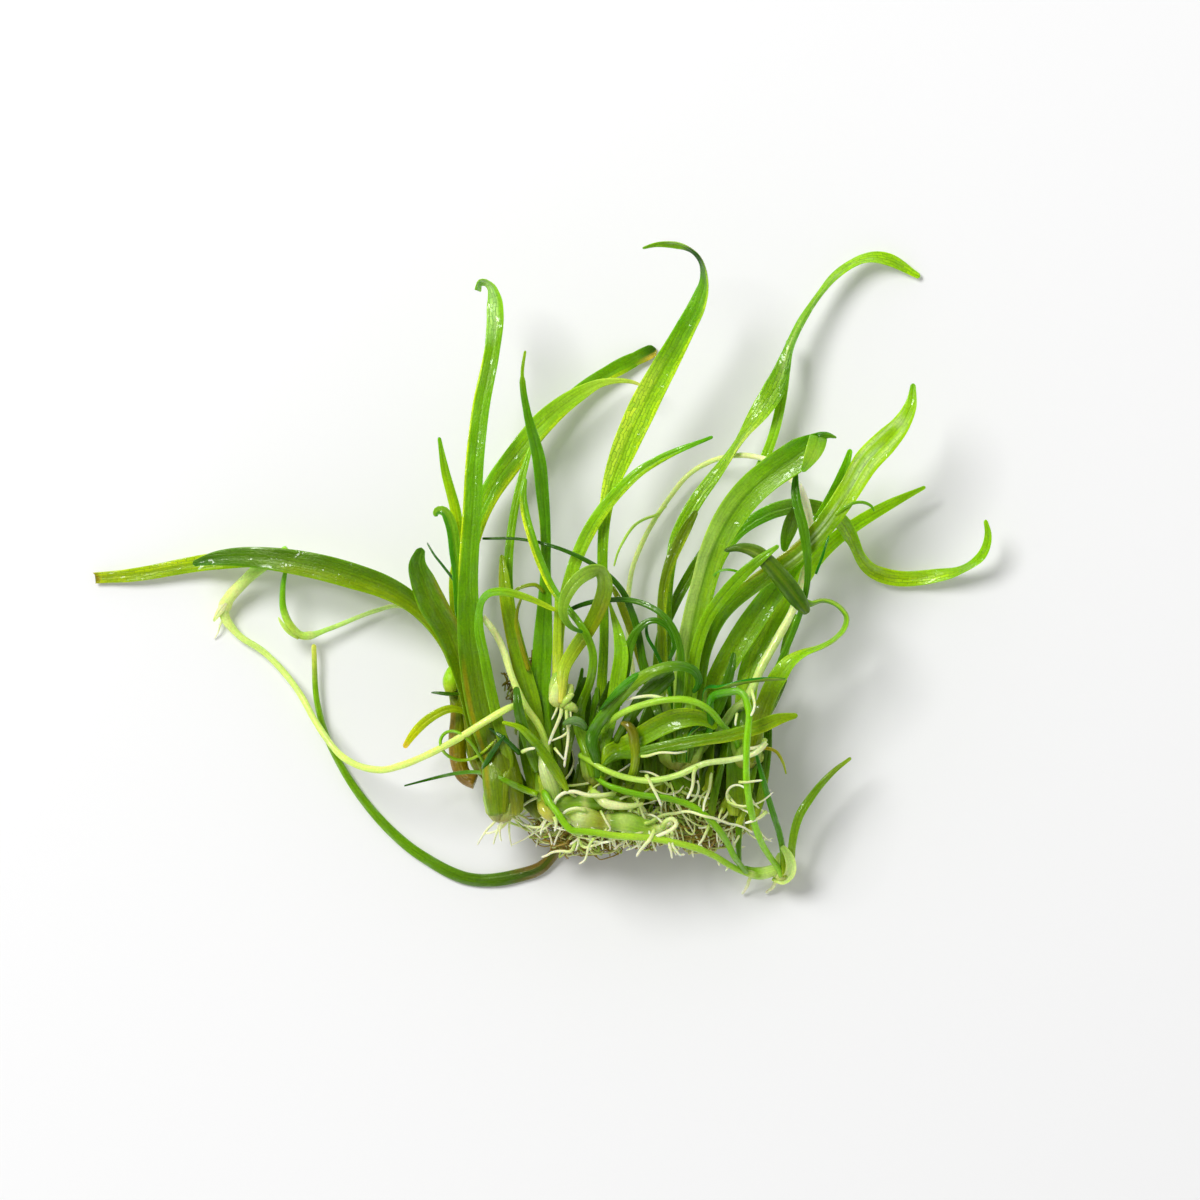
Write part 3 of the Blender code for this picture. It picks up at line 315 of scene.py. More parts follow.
def sections(node, base):
    """Centre, direction across and width of each section of a CAD leaf or runner, from base to tip."""
    shape = bmesh.new()
    shape.from_mesh(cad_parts[node].data)
    bmesh.ops.remove_doubles(shape, verts=shape.verts, dist=SAME_POINT * MM)
    shape.verts.index_update()
    points = np.array([vert.co for vert in shape.verts]) / MM
    beside = [[edge.other_vert(vert).index for edge in vert.link_edges] for vert in shape.verts]
    shape.free()

    def layers(start):
        """Rings of points, each one edge further from the first."""
        found, seen = [list(start)], set(start)
        while found[-1]:
            found.append(sorted({other for one in found[-1] for other in beside[one]} - seen))
            seen |= set(found[-1])
        return found[:-1]

    nearest = int(np.linalg.norm(points - base, axis=1).argmin())
    far = layers([nearest])[-1][0]
    rings = None
    for corners in TIP_CORNERS:
        for reach in TIP_REACHES:
            close = np.flatnonzero(np.linalg.norm(points - points[far], axis=1) < reach)
            outward = points[far] - points[close].mean(axis=0)
            tip = close[np.argsort(-(points[close] @ outward))][:corners]
            found = layers(tip.tolist())
            if all(len(layer) == corners for layer in found):
                rings = [points[layer] for layer in found][::-1]
    centres, sides, widths = [], [], []
    for ring in rings:
        pairs = [ring[j] - ring[i] for i in range(len(ring)) for j in range(i + 1, len(ring))]
        worth = [np.linalg.norm(pair) * (abs(unit(pair) @ sides[-1]) if sides else 1) for pair in pairs]
        best = pairs[int(np.argmax(worth))]
        widths.append(np.linalg.norm(best))
        centres.append(ring.mean(axis=0))
        sides.append(unit(best) * (np.sign(best @ sides[-1]) if sides else 1))
    return np.array(centres), np.array(sides), np.array(widths)


def eased(values, reach):
    """Rows of values, each softened with its neighbours."""
    step = np.arange(-3 * reach, 3 * reach + 1)
    weight = np.exp(-0.5 * (step / reach) ** 2)
    margins = [(len(step) // 2,) * 2] + [(0, 0)] * (values.ndim - 1)
    padded = np.pad(values, margins, mode="reflect", reflect_type="odd")
    return np.apply_along_axis(lambda row: np.convolve(row, weight / weight.sum(), "valid"), 0, padded)


def spread_along(values, along):
    """Values named at shares of a piece's length, at each of its stations."""
    return np.interp(along / along[-1], sorted(values), [values[place] for place in sorted(values)])


def walked(points):
    """The distance walked to each of a row of points."""
    return np.concatenate([[0], np.cumsum(np.linalg.norm(np.diff(points, axis=0), axis=1))])


def route(centres, sides, widths):
    """The same sections close together, on a smooth curve."""
    at = walked(centres)
    places = np.linspace(0, at[-1], max(8, int(at[-1] / STATION_STEP)))
    places = np.sort(np.concatenate([places, places[-1] - np.array(TIP_STATIONS)]))
    slope = np.gradient(centres, at, axis=0)
    span = np.clip(np.searchsorted(at, places, "right") - 1, 0, len(at) - 2)
    length = (at[span + 1] - at[span])[:, None]
    u = (places - at[span])[:, None] / length
    smooth = (
        (1 + 2 * u) * (1 - u) ** 2 * centres[span]
        + u * (1 - u) ** 2 * length * slope[span]
        + u * u * (3 - 2 * u) * centres[span + 1]
        + u * u * (u - 1) * length * slope[span + 1]
    )
    turned = np.stack([np.interp(places, at, sides[:, i]) for i in range(3)], axis=1)
    width = np.interp(places, at, widths)
    reach = min(3, len(places) // 8)
    return smooth, unit(eased(turned, reach)), np.maximum(eased(width, reach), THINNEST), places


def nudged(path, nudges):
    """A route pushed aside near places of the sheet: x, y, how far right, down and up, and the reach."""
    centre, side, width, along = path
    for x, y, right, down, up, reach in nudges:
        away = np.linalg.norm(centre[:, :2] - on_sheet((x, y, 0))[:2], axis=1)
        centre = centre + np.exp(-((away / reach) ** 2))[:, None] * [right, -down, up]
    return centre, side, width, along


def from_cad(node, base, clasp=1.0, foot=(), beyond=()):
    """The route of a CAD leaf or runner. `base` is the point where it starts, or the crown that it clasps.

    `foot` leads up to that point and `beyond` leads on from the last one, in among the pieces it grows from.
    """
    if isinstance(base, str):
        point, half = node_space(base)
        centres, sides, widths = sections(node, point)
        lean = np.clip((centres[0] - point) / half, -1, 1)
        rise = np.interp(lean[2], list(GRIP_RISE), list(GRIP_RISE.values()))
        hold = point + half * [GRIP_INSIDE[0] * lean[0], GRIP_INSIDE[1], rise]
        start = point + half * [GRIP_FOOT[0] * lean[0], GRIP_FOOT[1], 0.75 * rise]
        hold[1] = min(hold[1], centres[0][1] - GRIP_GAPS[0])
        start[1] = min(start[1], hold[1] - GRIP_GAPS[1])
        before, grip = [start, hold], [0.7 * clasp, clasp]
    else:
        centres, sides, widths = sections(node, on_sheet(base))
        before = [on_sheet(point) for point in foot]
        grip = [1.0] * len(before)
    centres = np.array([*before, *centres, *map(on_sheet, beyond)])
    more = len(before), len(beyond)
    sides = np.pad(sides, [more, (0, 0)], "edge")
    widths = np.pad(widths, more, "edge") * (grip + [1.0] * (len(centres) - len(grip)))
    return route(centres, sides, widths)


def blade(
    path,
    tones,
    marks=(),
    cup=0.22,
    grip=-0.55,
    wave=0.06,
    thick=1.0,
    notch=0.0,
    girth=None,
    cells=0.25,
    cut=False,
):
    """The skin of a strap leaf, hollow by `cup` and by `grip` at its base, with edges that ripple by `wave`.

    A mark is (from, to) along the leaf, (from, to) across it, a colour and a strength. `girth` is how much
    wider than its CAD solid the leaf is, at shares of its length. `cells` is how plainly they show, and they
    show in full in pale marks. The tip is round unless it is cut, and has a notch where one is given.
    """
    centre, side, width, along = path
    if girth:
        width = width * spread_along(girth, along)
    if not cut:
        left = np.clip((along[-1] - along) / (0.5 * width[-4:].mean()), 0, 1)
        width = width * np.maximum(np.sqrt(1 - (1 - left) ** 2), 0.2)
    way = unit(np.gradient(centre, axis=0))
    up = unit(np.cross(side, way))
    if up[:, 2].sum() < 0:
        side, up = -side, -up
    share = along / along[-1]
    s = np.sin(np.linspace(-np.pi / 2, np.pi / 2, ACROSS))[None, :]
    half = width[:, None] / 2
    draw = np.random.default_rng(len(along) * 7 + int(width.sum() * 100))
    hollow = cup + (grip - cup) * np.clip(1 - share / GRIP_LENGTH, 0, 1)[:, None] ** 1.5
    rise = half * hollow * (s**2 - 0.4)
    for edge in (-1, 1):
        beat = draw.uniform(*EDGE_BEATS)
        ripple = np.sin(2 * np.pi * along / beat + draw.uniform(0, 6))[:, None]
        rise = rise + wave * ripple * np.clip(edge * s, 0, 1) ** 2
    full = spread_along(THICKNESS, along)
    full = np.minimum(full * thick, width * 0.85)[:, None] / 2 * (1 - np.abs(s) ** 2.6) ** 0.7
    grooves = sum(np.exp(-(((s - vein) / VEIN_WIDTH) ** 2)) for vein in VEINS)
    midrib = np.exp(-((s / MIDRIB_WIDTH) ** 2))
    top = rise + full * (1 - VEIN_ABOVE * grooves - MIDRIB_ABOVE * midrib)
    bottom = rise - full * (1 - VEIN_BELOW * grooves + MIDRIB_BELOW * midrib)
    tip = np.clip((share - 1) * along[-1] / max(notch, 0.01) + 1.6, 0, 1)[:, None] if notch else 0
    back = np.broadcast_to(tip * notch * (1 - np.abs(s + 0.2) * 1.2), top.shape)
    under = slice(ACROSS - 2, 0, -1)
    height = np.concatenate([top, bottom[:, under]], axis=1)
    s, back = (np.concatenate([row, row[:, under]], axis=1) for row in (s, back))
    flat = centre[:, None] + side[:, None] * (half * s)[..., None]
    rings = flat + up[:, None] * height[..., None] - way[:, None] * back[..., None]
    tone = np.full(rings.shape[:2] + (4,), cells)
    tone[..., :3] = blend_tones(tones, share)[:, None]
    for (first, last), (left, right), colour, strength in marks:
        soft_along = np.clip(np.minimum(share - first, last - share) / MARK_FADE_ALONG, 0, 1)[:, None]
        soft_across = np.clip(np.minimum(s - left, right - s) / MARK_FADE_ACROSS, 0, 1)
        cover = (soft_along * soft_across * strength)[..., None]
        shown = 1.0 if sum(colour) > PALE_MARK else cells
        tone = tone * (1 - cover) + np.append(paint(colour), shown) * cover
    below = tone[:, ACROSS:, :3]
    tone[:, ACROSS:, :3] = below * (1 - UNDERSIDE_SHARE) + paint(UNDERSIDE) * UNDERSIDE_SHARE
    place = np.stack([half * s, along[:, None] + 0 * s, s + 0 * half], axis=-1)
    return rings, tone, place


def leaf(node, base, tones, marks=(), finish=None, slot="mid_leaf", clasp=1.0, foot=(), nudges=(), **shape):
    """A leaf in place of its CAD node."""
    skin = blade(nudged(from_cad(node, base, clasp, foot), nudges), tones, marks, **shape)
    return grown(node + "_blade", [skin], finish or leaf_finish, slot, node)


leaf_finish = living_skin(
    "leaf_tissue", long_cells=0.95, depth=1.0, gloss=0.28, glow=0.3, wet=0.8, tint=(1.4, 1.06, 0.45, 1)
)
dark_finish = living_skin(
    "dark_leaf_tissue", long_cells=1.3, depth=0.5, gloss=0.24, glow=0.15, wet=1.0, tint=(1.6, 1.05, 0.3, 1)
)
WIRY = {"finish": dark_finish, "slot": "dark_leaf"}  # the thin and dark ones

leaf(
    "left_leaf_tall", "crown_left",
    {0: (95, 135, 10), 0.25: (80, 122, 5), 0.36: (82, 142, 5), 0.6: (88, 160, 5), 0.86: (100, 170, 10),
     1: (120, 190, 40)},
    [((0.42, 0.86), (-1.1, -0.76), (185, 230, 20), 0.8),
     ((0.02, 0.3), (-0.9, -0.45), (150, 140, 20), 0.5),
     # the whitish patch over the tip is a painted highlight of its wet gloss
     ((0.85, 1.1), (-0.85, 0.45), (150, 212, 185), 0.7)],
    clasp=1.3, cut=True,
    girth={0.85: 1, 0.93: 1.3, 0.97: 1.15, 1: 2.6},
)
leaf(
    "left_leaf_far", "crown_left",
    {0: (110, 130, 20), 0.3: (95, 150, 5), 0.6: (120, 178, 10), 0.9: (125, 172, 8), 0.99: (130, 165, 10),
     1: (115, 115, 10)},
    [((0.45, 0.97), (0.2, 1.1), (165, 205, 15), 0.5)],
    slot="fresh_leaf", cells=0.5, notch=0.4, cut=True,
    girth={0: 1, 0.6: 1.05, 0.97: 1.1, 1: 1.2},
)
leaf(
    "left_leaf_long_back", "crown_left",
    {0: (100, 130, 20), 0.3: (95, 150, 10), 0.6: (95, 165, 10), 0.96: (90, 155, 10), 0.985: (55, 105, 8),
     1: (45, 85, 5)},
    [((0.4, 0.95), (0.45, 1.1), (190, 225, 40), 0.6), ((0.95, 1.02), (0.3, 1.1), (215, 200, 110), 0.8)],
    girth={0.65: 1, 0.8: 0.86, 0.9: 0.9, 0.96: 1.3, 1: 2.6},
)
leaf(
    "left_leaf_long_front", "crown_left",
    {0: (100, 130, 20), 0.35: (105, 165, 10), 0.6: (100, 175, 5), 0.85: (130, 195, 50),
     0.95: (165, 215, 110), 1: (215, 230, 190)},
    [((0.45, 0.85), (-0.5, 0.1), (140, 205, 30), 0.5), ((0.5, 0.85), (0.6, 1.1), (170, 215, 40), 0.5)],
    slot="fresh_leaf",
    girth={0.78: 1, 0.88: 0.7, 1: 0.5},
)
leaf(
    "left_leaf_arching", "crown_left",
    {0: (100, 110, 15), 0.3: (85, 112, 5), 0.5: (92, 135, 3), 0.8: (80, 130, 5), 1: (50, 108, 5)},
    [((0.2, 1.05), (0.15, 1.1), (62, 108, 0), 0.75), ((0.33, 0.82), (-1.1, -0.2), (112, 152, 8), 0.6)],
    cup=0.16,
)
leaf(
    "left_leaf_thin", "crown_left",
    {0: (110, 140, 20), 0.4: (150, 200, 20), 0.75: (150, 200, 10), 1: (90, 160, 10)},
    [((0.4, 0.95), (0.2, 1.1), (95, 160, 5), 0.6)],
    slot="fresh_leaf",
)
leaf(
    "left_leaf_hooked", "crown_left",
    {0: (110, 140, 20), 0.5: (120, 180, 10), 0.8: (90, 160, 10), 1: (110, 170, 60)},
    [((0.6, 1.05), (-1.1, -0.1), (45, 125, 10), 0.8)],
)
leaf(
    "left_leaf_short_broad", "crown_left",
    {0: (85, 100, 8), 0.4: (80, 115, 3), 0.8: (80, 130, 8), 1: (55, 105, 10)},
    [((0.1, 0.9), (0.6, 1.1), (105, 115, 10), 0.6), ((0.1, 0.9), (-0.1, 0.14), (100, 140, 10), 0.5)],
    slot="olive_leaf", cup=0.4,
    girth={0: 1, 0.3: 1.15, 0.8: 1.2, 1: 1},
)
leaf(
    "left_leaf_looped", "crown_left",
    {0: (105, 135, 15), 0.5: (90, 150, 10), 0.75: (85, 160, 15), 1: (160, 210, 50)},
)
leaf(
    "left_old_stalk", (47.5, 78.1, 5.7),
    {0: (140, 120, 50), 0.2: (115, 115, 15), 0.55: (100, 130, 10), 0.8: (95, 130, 10),
     0.88: (165, 205, 20), 1: (175, 210, 40)},
    [((0, 0.75), (-1.1, -0.3), (105, 85, 25), 0.7)],
    slot="olive_leaf", cup=-0.3, thick=2,
)
leaf(
    "left_leaf_stub", (45.2, 70.8, 7.4),
    {0: (90, 130, 10), 0.4: (125, 165, 15), 0.7: (150, 190, 15), 0.92: (165, 190, 20), 1: (200, 180, 90)},
    slot="fresh_leaf",
    foot=[(48.8, 73.2, 5.8), (47, 71.4, 6.8)],
)

# Leaves of the middle rosette
# A tall dark leaf with a torn notch below its tip stands here, with a slim leaf and a long slender one
# beside it. They share one crown, and their bases stay rolled for a third of their length.
leaf(
    "middle_leaf_slim", "crown_middle",
    {0: (120, 175, 50), 0.3: (105, 165, 20), 0.6: (100, 165, 15), 1: (110, 180, 20)},
    [((0.2, 0.6), (-1.1, -0.5), (120, 120, 10), 0.7)],
)
leaf(
    "middle_leaf_dark", "crown_middle",
    {0: (150, 190, 80), 0.2: (95, 160, 8), 0.45: (82, 148, 5), 0.62: (68, 132, 5), 0.9: (72, 138, 4),
     1: (125, 175, 30)},
    [((0.05, 0.5), (-0.2, 0.25), (72, 136, 0), 0.6), ((0.52, 0.68), (-1.1, -0.8), (165, 210, 30), 0.6)],
    slot="dark_leaf",
    girth={0.935: 1, 0.945: 0.6, 1: 0.8},
)
leaf(
    "middle_leaf_long", "crown_centre",
    {0: (100, 155, 20), 0.3: (98, 155, 12), 0.6: (85, 155, 10), 1: (95, 165, 10)},
    [((0.6, 0.95), (-1.1, -0.2), (185, 225, 30), 0.7)],
    nudges=[(59.8, 71.8, -1.3, 0, -1.2, 4.2)],
    girth={0: 1.1, 0.15: 1.25, 0.3: 1},
)
leaf("middle_leaf_wiry", "crown_right", {0: (75, 135, 15), 0.5: (48, 108, 8), 1: (32, 84, 6)}, **WIRY)
leaf(
    "middle_leaf_low", (56.8, 79, 10.8),
    {0: (120, 165, 30), 0.3: (95, 142, 8), 0.6: (92, 145, 6), 1: (130, 185, 15)},
    girth={0: 0.3, 0.12: 0.6, 0.3: 0.75, 0.7: 0.9, 1: 0.8},
    cup=-0.2,
)

# Leaves of the centre rosette
# The tallest leaf of the clump rises here and hooks over at its tip. A pointed leaf and a folded one grow
# from the small pale bulb in front of it, and dark young leaves arch out of the middle.
# The very dark band at 0.895 to 0.92 of its length, where the blade narrows below the hook, is painted shade
# for a twist.
leaf(
    "centre_leaf_tall", "crown_centre",
    {0: (120, 170, 30), 0.3: (95, 160, 10), 0.5: (115, 182, 12), 0.62: (128, 194, 22), 0.78: (86, 158, 3),
     0.85: (82, 152, 3), 0.895: (20, 72, 4), 0.92: (28, 82, 4), 0.935: (110, 172, 25), 1: (98, 160, 15)},
    [((0.42, 0.72), (-1.1, -0.1), (172, 226, 95), 0.8),
     ((0.4, 0.9), (0.6, 1.1), (165, 225, 35), 0.6),
     ((0.42, 0.68), (-0.1, 0.6), (145, 208, 50), 0.6)],
    slot="fresh_leaf", cup=0.3, cells=0.45,
    girth={0.7: 1, 0.84: 0.85, 0.885: 0.42, 0.915: 0.5, 0.94: 0.95, 1: 0.8},
)
leaf(
    "centre_leaf_pointed", "crown_small",
    {0: (190, 220, 130), 0.12: (150, 195, 70), 0.4: (120, 185, 40), 0.65: (115, 190, 25), 1: (80, 160, 10)},
    [((0.45, 0.9), (0.3, 1.1), (160, 220, 50), 0.6)],
    slot="fresh_leaf",
)
# The greyish green along its fold, from 0.62 to 0.85 of its length, is a painted sheen.
leaf(
    "centre_leaf_folded", "crown_small",
    {0: (200, 225, 140), 0.12: (150, 195, 70), 0.3: (105, 155, 25), 0.45: (100, 140, 10),
     0.62: (110, 160, 75), 0.85: (110, 165, 60), 1: (30, 90, 15)},
    [((0.2, 0.5), (0.1, 1.1), (110, 130, 6), 0.6)],
    slot="olive_leaf",
)
leaf(
    "centre_leaf_olive", "crown_right",
    {0: (110, 150, 20), 0.5: (118, 148, 12), 1: (105, 135, 10)},
    slot="olive_leaf",
)
leaf(
    "centre_leaf_glossy_arch", "crown_right",
    {0: (78, 140, 12), 0.5: (58, 122, 10), 1: (28, 78, 6)},
    **WIRY,
)
leaf(
    "centre_leaf_dark_arch", "crown_centre",
    {0: (88, 148, 10), 0.45: (76, 140, 5), 0.75: (55, 120, 8), 1: (42, 105, 8)},
    **WIRY,
)

# Leaves of the right rosettes
# Two crowns side by side carry the broadest leaves. One is thick and folded over at its tip, one is twisted
# half way up, one loops round on itself, and one leans far out to the right in an S.


def drawn(rows, turn=0.0):
    """The route of a small leaf or root given from tip to base, as rows of x, y, height and width."""
    rows = np.array(rows, float)[::-1]
    centres = np.array([on_sheet(row) for row in rows])
    way = unit(np.gradient(centres, axis=0))
    flat = unit(np.stack([way[:, 1], -way[:, 0], np.zeros(len(rows))], axis=1))
    up = np.cross(flat, way)
    return route(centres, flat * np.cos(np.radians(turn)) + up * np.sin(np.radians(turn)), rows[:, 3])


def small_blade(rows, tones, marks=(), turn=0.0, **shape):
    """The skin of a small leaf by its rows from tip to base, turned about its length."""
    return blade(drawn(rows, turn), tones, marks, **shape)


leaf(
    "right_leaf_narrow", "crown_right",
    {0: (100, 150, 20), 0.35: (85, 140, 10), 0.5: (90, 145, 10), 0.75: (115, 185, 25), 1: (125, 195, 40)},
    slot="fresh_leaf",
)
leaf(
    "right_leaf_tall", "crown_right",
    {0: (100, 158, 12), 0.45: (112, 178, 22), 0.58: (118, 180, 18), 0.7: (92, 160, 22),
     0.85: (122, 190, 30), 1: (135, 205, 25)},
    [((0.48, 0.6), (0.5, 1.1), (175, 215, 130), 0.6),
     ((0.64, 0.78), (-0.3, 0.2), (170, 215, 180), 0.6),
     ((0.6, 0.86), (0.35, 1.1), (62, 128, 5), 0.7),
     ((0.6, 0.72), (-1.1, -0.6), (80, 145, 8), 0.5)],
    slot="fresh_leaf", cells=0.6,
    girth={0.5: 1, 0.6: 1.2, 0.64: 1.2, 0.7: 0.7, 0.78: 0.65, 0.87: 0.85, 0.94: 1.1, 1: 1.4},
)
leaf(
    "right_leaf_olive", "crown_right",
    {0: (90, 135, 15), 0.5: (92, 132, 8), 1: (82, 118, 8)},
    [((0.3, 0.95), (0.4, 1.1), (135, 180, 20), 0.7)],
    slot="olive_leaf",
)
leaf(
    "right_leaf_bright", "crown_far_right",
    {0: (120, 165, 30), 0.25: (115, 180, 15), 0.5: (120, 185, 10), 0.75: (140, 215, 10), 1: (130, 200, 10)},
    [((0.1, 0.5), (-0.5, -0.1), (165, 215, 70), 0.5)],
    slot="fresh_leaf", cup=0.3,
)
leaf(
    "right_leaf_s_curve", "crown_right",
    {0: (105, 165, 20), 0.2: (98, 172, 10), 0.35: (94, 170, 8), 0.45: (74, 150, 8), 0.55: (118, 170, 75),
     0.62: (118, 186, 10), 0.75: (145, 206, 12), 0.9: (112, 182, 15), 1: (120, 188, 18)},
    [((0.2, 0.4), (0.3, 1.1), (150, 210, 60), 0.5), ((0.6, 0.9), (-0.3, 0.8), (150, 210, 10), 0.6)],
)
leaf(
    "right_leaf_upright", "crown_right",
    {0: (125, 165, 30), 0.3: (115, 175, 15), 0.6: (110, 185, 5), 1: (100, 180, 10)},
    [((0.15, 0.6), (0.5, 1.1), (90, 150, 5), 0.6)],
    cup=0.35,
)
leaf(
    "right_leaf_long", "crown_right",
    {0: (105, 155, 15), 0.35: (95, 160, 10), 0.55: (98, 150, 8), 0.66: (100, 158, 8),
     0.72: (138, 202, 30), 0.95: (130, 200, 15), 1: (100, 172, 25)},
    [((0.4, 0.64), (-1.1, -0.5), (125, 125, 12), 0.5),
     # The whitish streaks follow pale rows of cells and are lit up as painted highlights; the short band at
     # 0.89 to 0.93 is a painted glint on a fold.
     ((0.57, 0.72), (-0.42, -0.14), (200, 240, 300), 0.8),
     ((0.5, 0.68), (0.1, 0.36), (185, 228, 265), 0.6),
     ((0.7, 0.86), (-0.3, 0.2), (185, 235, 265), 0.6),
     ((0.72, 0.95), (-0.85, -0.5), (205, 250, 260), 0.6),
     ((0.72, 0.95), (0.35, 0.7), (205, 250, 260), 0.6),
     ((0.89, 0.93), (-0.6, 0.3), (225, 250, 320), 0.7)],
    slot="olive_leaf",
    girth={0.6: 1, 0.72: 1.3, 0.85: 1.25, 0.95: 1.2, 1: 1},
)
leaf(
    "right_leaf_dark_thin", "crown_far_right",
    {0: (80, 140, 15), 0.5: (60, 128, 10), 0.8: (66, 132, 10), 1: (40, 112, 8)},
    girth={0: 0.8, 0.5: 0.75, 0.65: 0.95, 0.78: 1.25, 0.9: 1.15, 1: 0.7},
    **WIRY,
)
leaf(
    "right_leaf_thick", "crown_right",
    {0: (110, 155, 25), 0.12: (140, 192, 110), 0.5: (148, 200, 140), 0.66: (125, 186, 80),
     0.8: (98, 165, 15), 1: (45, 115, 10)},
    [((0.05, 1.05), (-0.25, 1.1), (94, 154, 8), 0.9),
     ((0.45, 0.95), (-0.1, 0.2), (62, 126, 5), 0.7),
     ((0.1, 0.6), (0.3, 1.1), (118, 176, 12), 0.6)],
    cup=0.35, girth={0.8: 1, 0.9: 1.1, 1: 0.5},
)
grown(
    "right_leaf_thick_tip",
    [
        small_blade(
            [(80, 47.3, 14.4, 0.3), (80.45, 46.6, 14.8, 0.95), (80.95, 45.7, 15, 1.6),
             (81.35, 44.8, 14.9, 1.95), (81.6, 43.9, 14.4, 1.8)],
            {0: (90, 160, 25), 0.5: (128, 188, 75), 1: (85, 155, 20)},
            grip=0.1, thick=0.7, cells=0.1,
        ),
        small_blade(
            [(83.4, 43.95, 14, 0.2), (83, 43.8, 14.2, 0.34), (82.4, 43.7, 14.3, 0.5),
             (81.6, 43.9, 14.3, 0.8)],
            {0: (45, 105, 5), 1: (85, 150, 10)},
            thick=0.7,
        ),
    ],
    leaf_finish, "fresh_leaf",
)
grown(
    "right_leaf_looped_blade",
    [
        blade(
            from_cad("right_leaf_looped", "crown_far_right"),
            {0: (105, 135, 15), 0.2: (90, 130, 10), 0.35: (120, 190, 20), 0.6: (105, 175, 18),
             0.66: (95, 155, 15), 1: (48, 92, 10)},
            [((0.3, 0.6), (-1.1, -0.3), (165, 215, 40), 0.5)],
            girth={0.3: 1, 0.45: 0.75, 0.58: 0.6, 0.64: 0.5, 0.8: 0.6},
        ),
        small_blade(
            [(72.35, 55.1, 12.6, 0.3), (73.8, 54.8, 12.9, 0.9), (75.4, 55.2, 12.9, 1.4),
             (76.8, 56.5, 12.8, 1.75), (78.2, 58.1, 12.8, 1.9), (79.4, 59.7, 12.7, 1.9),
             (80.15, 60.7, 12.5, 1.6), (80.5, 61.2, 12.2, 0.9)],
            {0: (70, 112, 25), 0.12: (52, 96, 10), 0.5: (66, 108, 14), 0.75: (78, 120, 30),
             1: (48, 92, 10)},
            [((-0.1, 0.85), (-0.62, -0.32), (26, 58, 4), 0.75),
             ((-0.1, 0.85), (0.22, 0.5), (26, 58, 4), 0.75),
             ((0, 0.7), (-0.14, 0.08), (110, 140, 40), 0.5),
             # the greyish patch here is a painted highlight on the dark striped end
             ((0.6, 0.85), (-0.6, 0.1), (120, 160, 90), 0.5)],
            cup=-0.3, grip=-0.3,
        ),
    ],
    leaf_finish, "dark_leaf", "right_leaf_looped",
)
leaf(
    "right_leaf_pointed", "crown_right",
    {0: (100, 158, 12), 0.5: (104, 165, 8), 1: (92, 158, 10)},
    [((0.2, 0.95), (-0.12, 0.1), (70, 130, 5), 0.5)],
)

# Low leaves at the front
# Short leaves lie across the foot of the clump, some broad and bright, some thin, dark and wiry.
leaf("front_leaf_short", "crown_right", {0: (72, 130, 10), 1: (48, 104, 8)}, **WIRY)
leaf(
    "front_leaf_fine", "crown_right",
    {0: (36, 120, 12), 0.5: (20, 128, 16), 1: (14, 105, 10)},
    nudges=[(70.8, 70.2, -0.3, -1.3, 0, 1.4)],
    girth={0: 1, 0.4: 1.1, 0.7: 1.35, 1: 1.2},
    **WIRY,
)
leaf(
    "front_leaf_broad", "crown_centre",
    {0: (118, 168, 12), 0.5: (102, 162, 6), 1: (108, 164, 10)},
    [((0.3, 0.9), (-1.1, -0.4), (150, 200, 40), 0.5)],
    cup=0.35,
)
leaf(
    "front_leaf_arch", "crown_centre",
    {0: (60, 118, 6), 0.2: (48, 108, 6), 0.35: (70, 132, 12), 0.6: (95, 155, 35), 0.85: (50, 115, 10),
     1: (30, 95, 8)},
    cup=-0.2,
    nudges=[(59.9, 73.4, -0.9, 0.3, 0.9, 2.1)],
    **WIRY,
)
leaf(
    "front_leaf_low_right", "crown_centre",
    {0: (72, 122, 8), 0.5: (82, 134, 12), 0.8: (102, 152, 22), 1: (116, 162, 24)},
    [((0.3, 0.95), (-0.16, 0.1), (130, 168, 30), 0.5), ((0.5, 0.98), (0.55, 1.1), (140, 175, 15), 0.5)],
    girth={0: 0.8, 0.35: 0.75, 0.6: 0.68, 0.75: 0.74, 0.88: 1, 1: 1.1},
)


# Runners
# Long, thin, round stems that creep from one crown to the next. They are pale and almost see-through, swell
# a little at their nodes, and end in a young rosette.
RUNNER_AROUND = 16
FLUTES, FLUTE_DEPTH = 8, 0.025
NODE_SWELLING, NODE_RING = 0.5, 0.35  # how far a node's swelling and its pale ring reach
NODE_TONE, NODE_PALENESS = (215, 225, 150), 0.6
UNEVEN = 1.7  # how often a stem is thick and thin


def tube(path, radius, angle, flat=1.0):
    """Rings of points round a route, each level with the ground beneath it."""
    centre, side, _, _ = path
    way = unit(np.gradient(centre, axis=0))
    up = unit(np.cross(side, way))
    side = np.cross(way, up)
    level = centre[:, None] + side[:, None] * (radius * np.cos(angle))[..., None]
    return level + up[:, None] * (radius * np.sin(angle) * flat)[..., None]


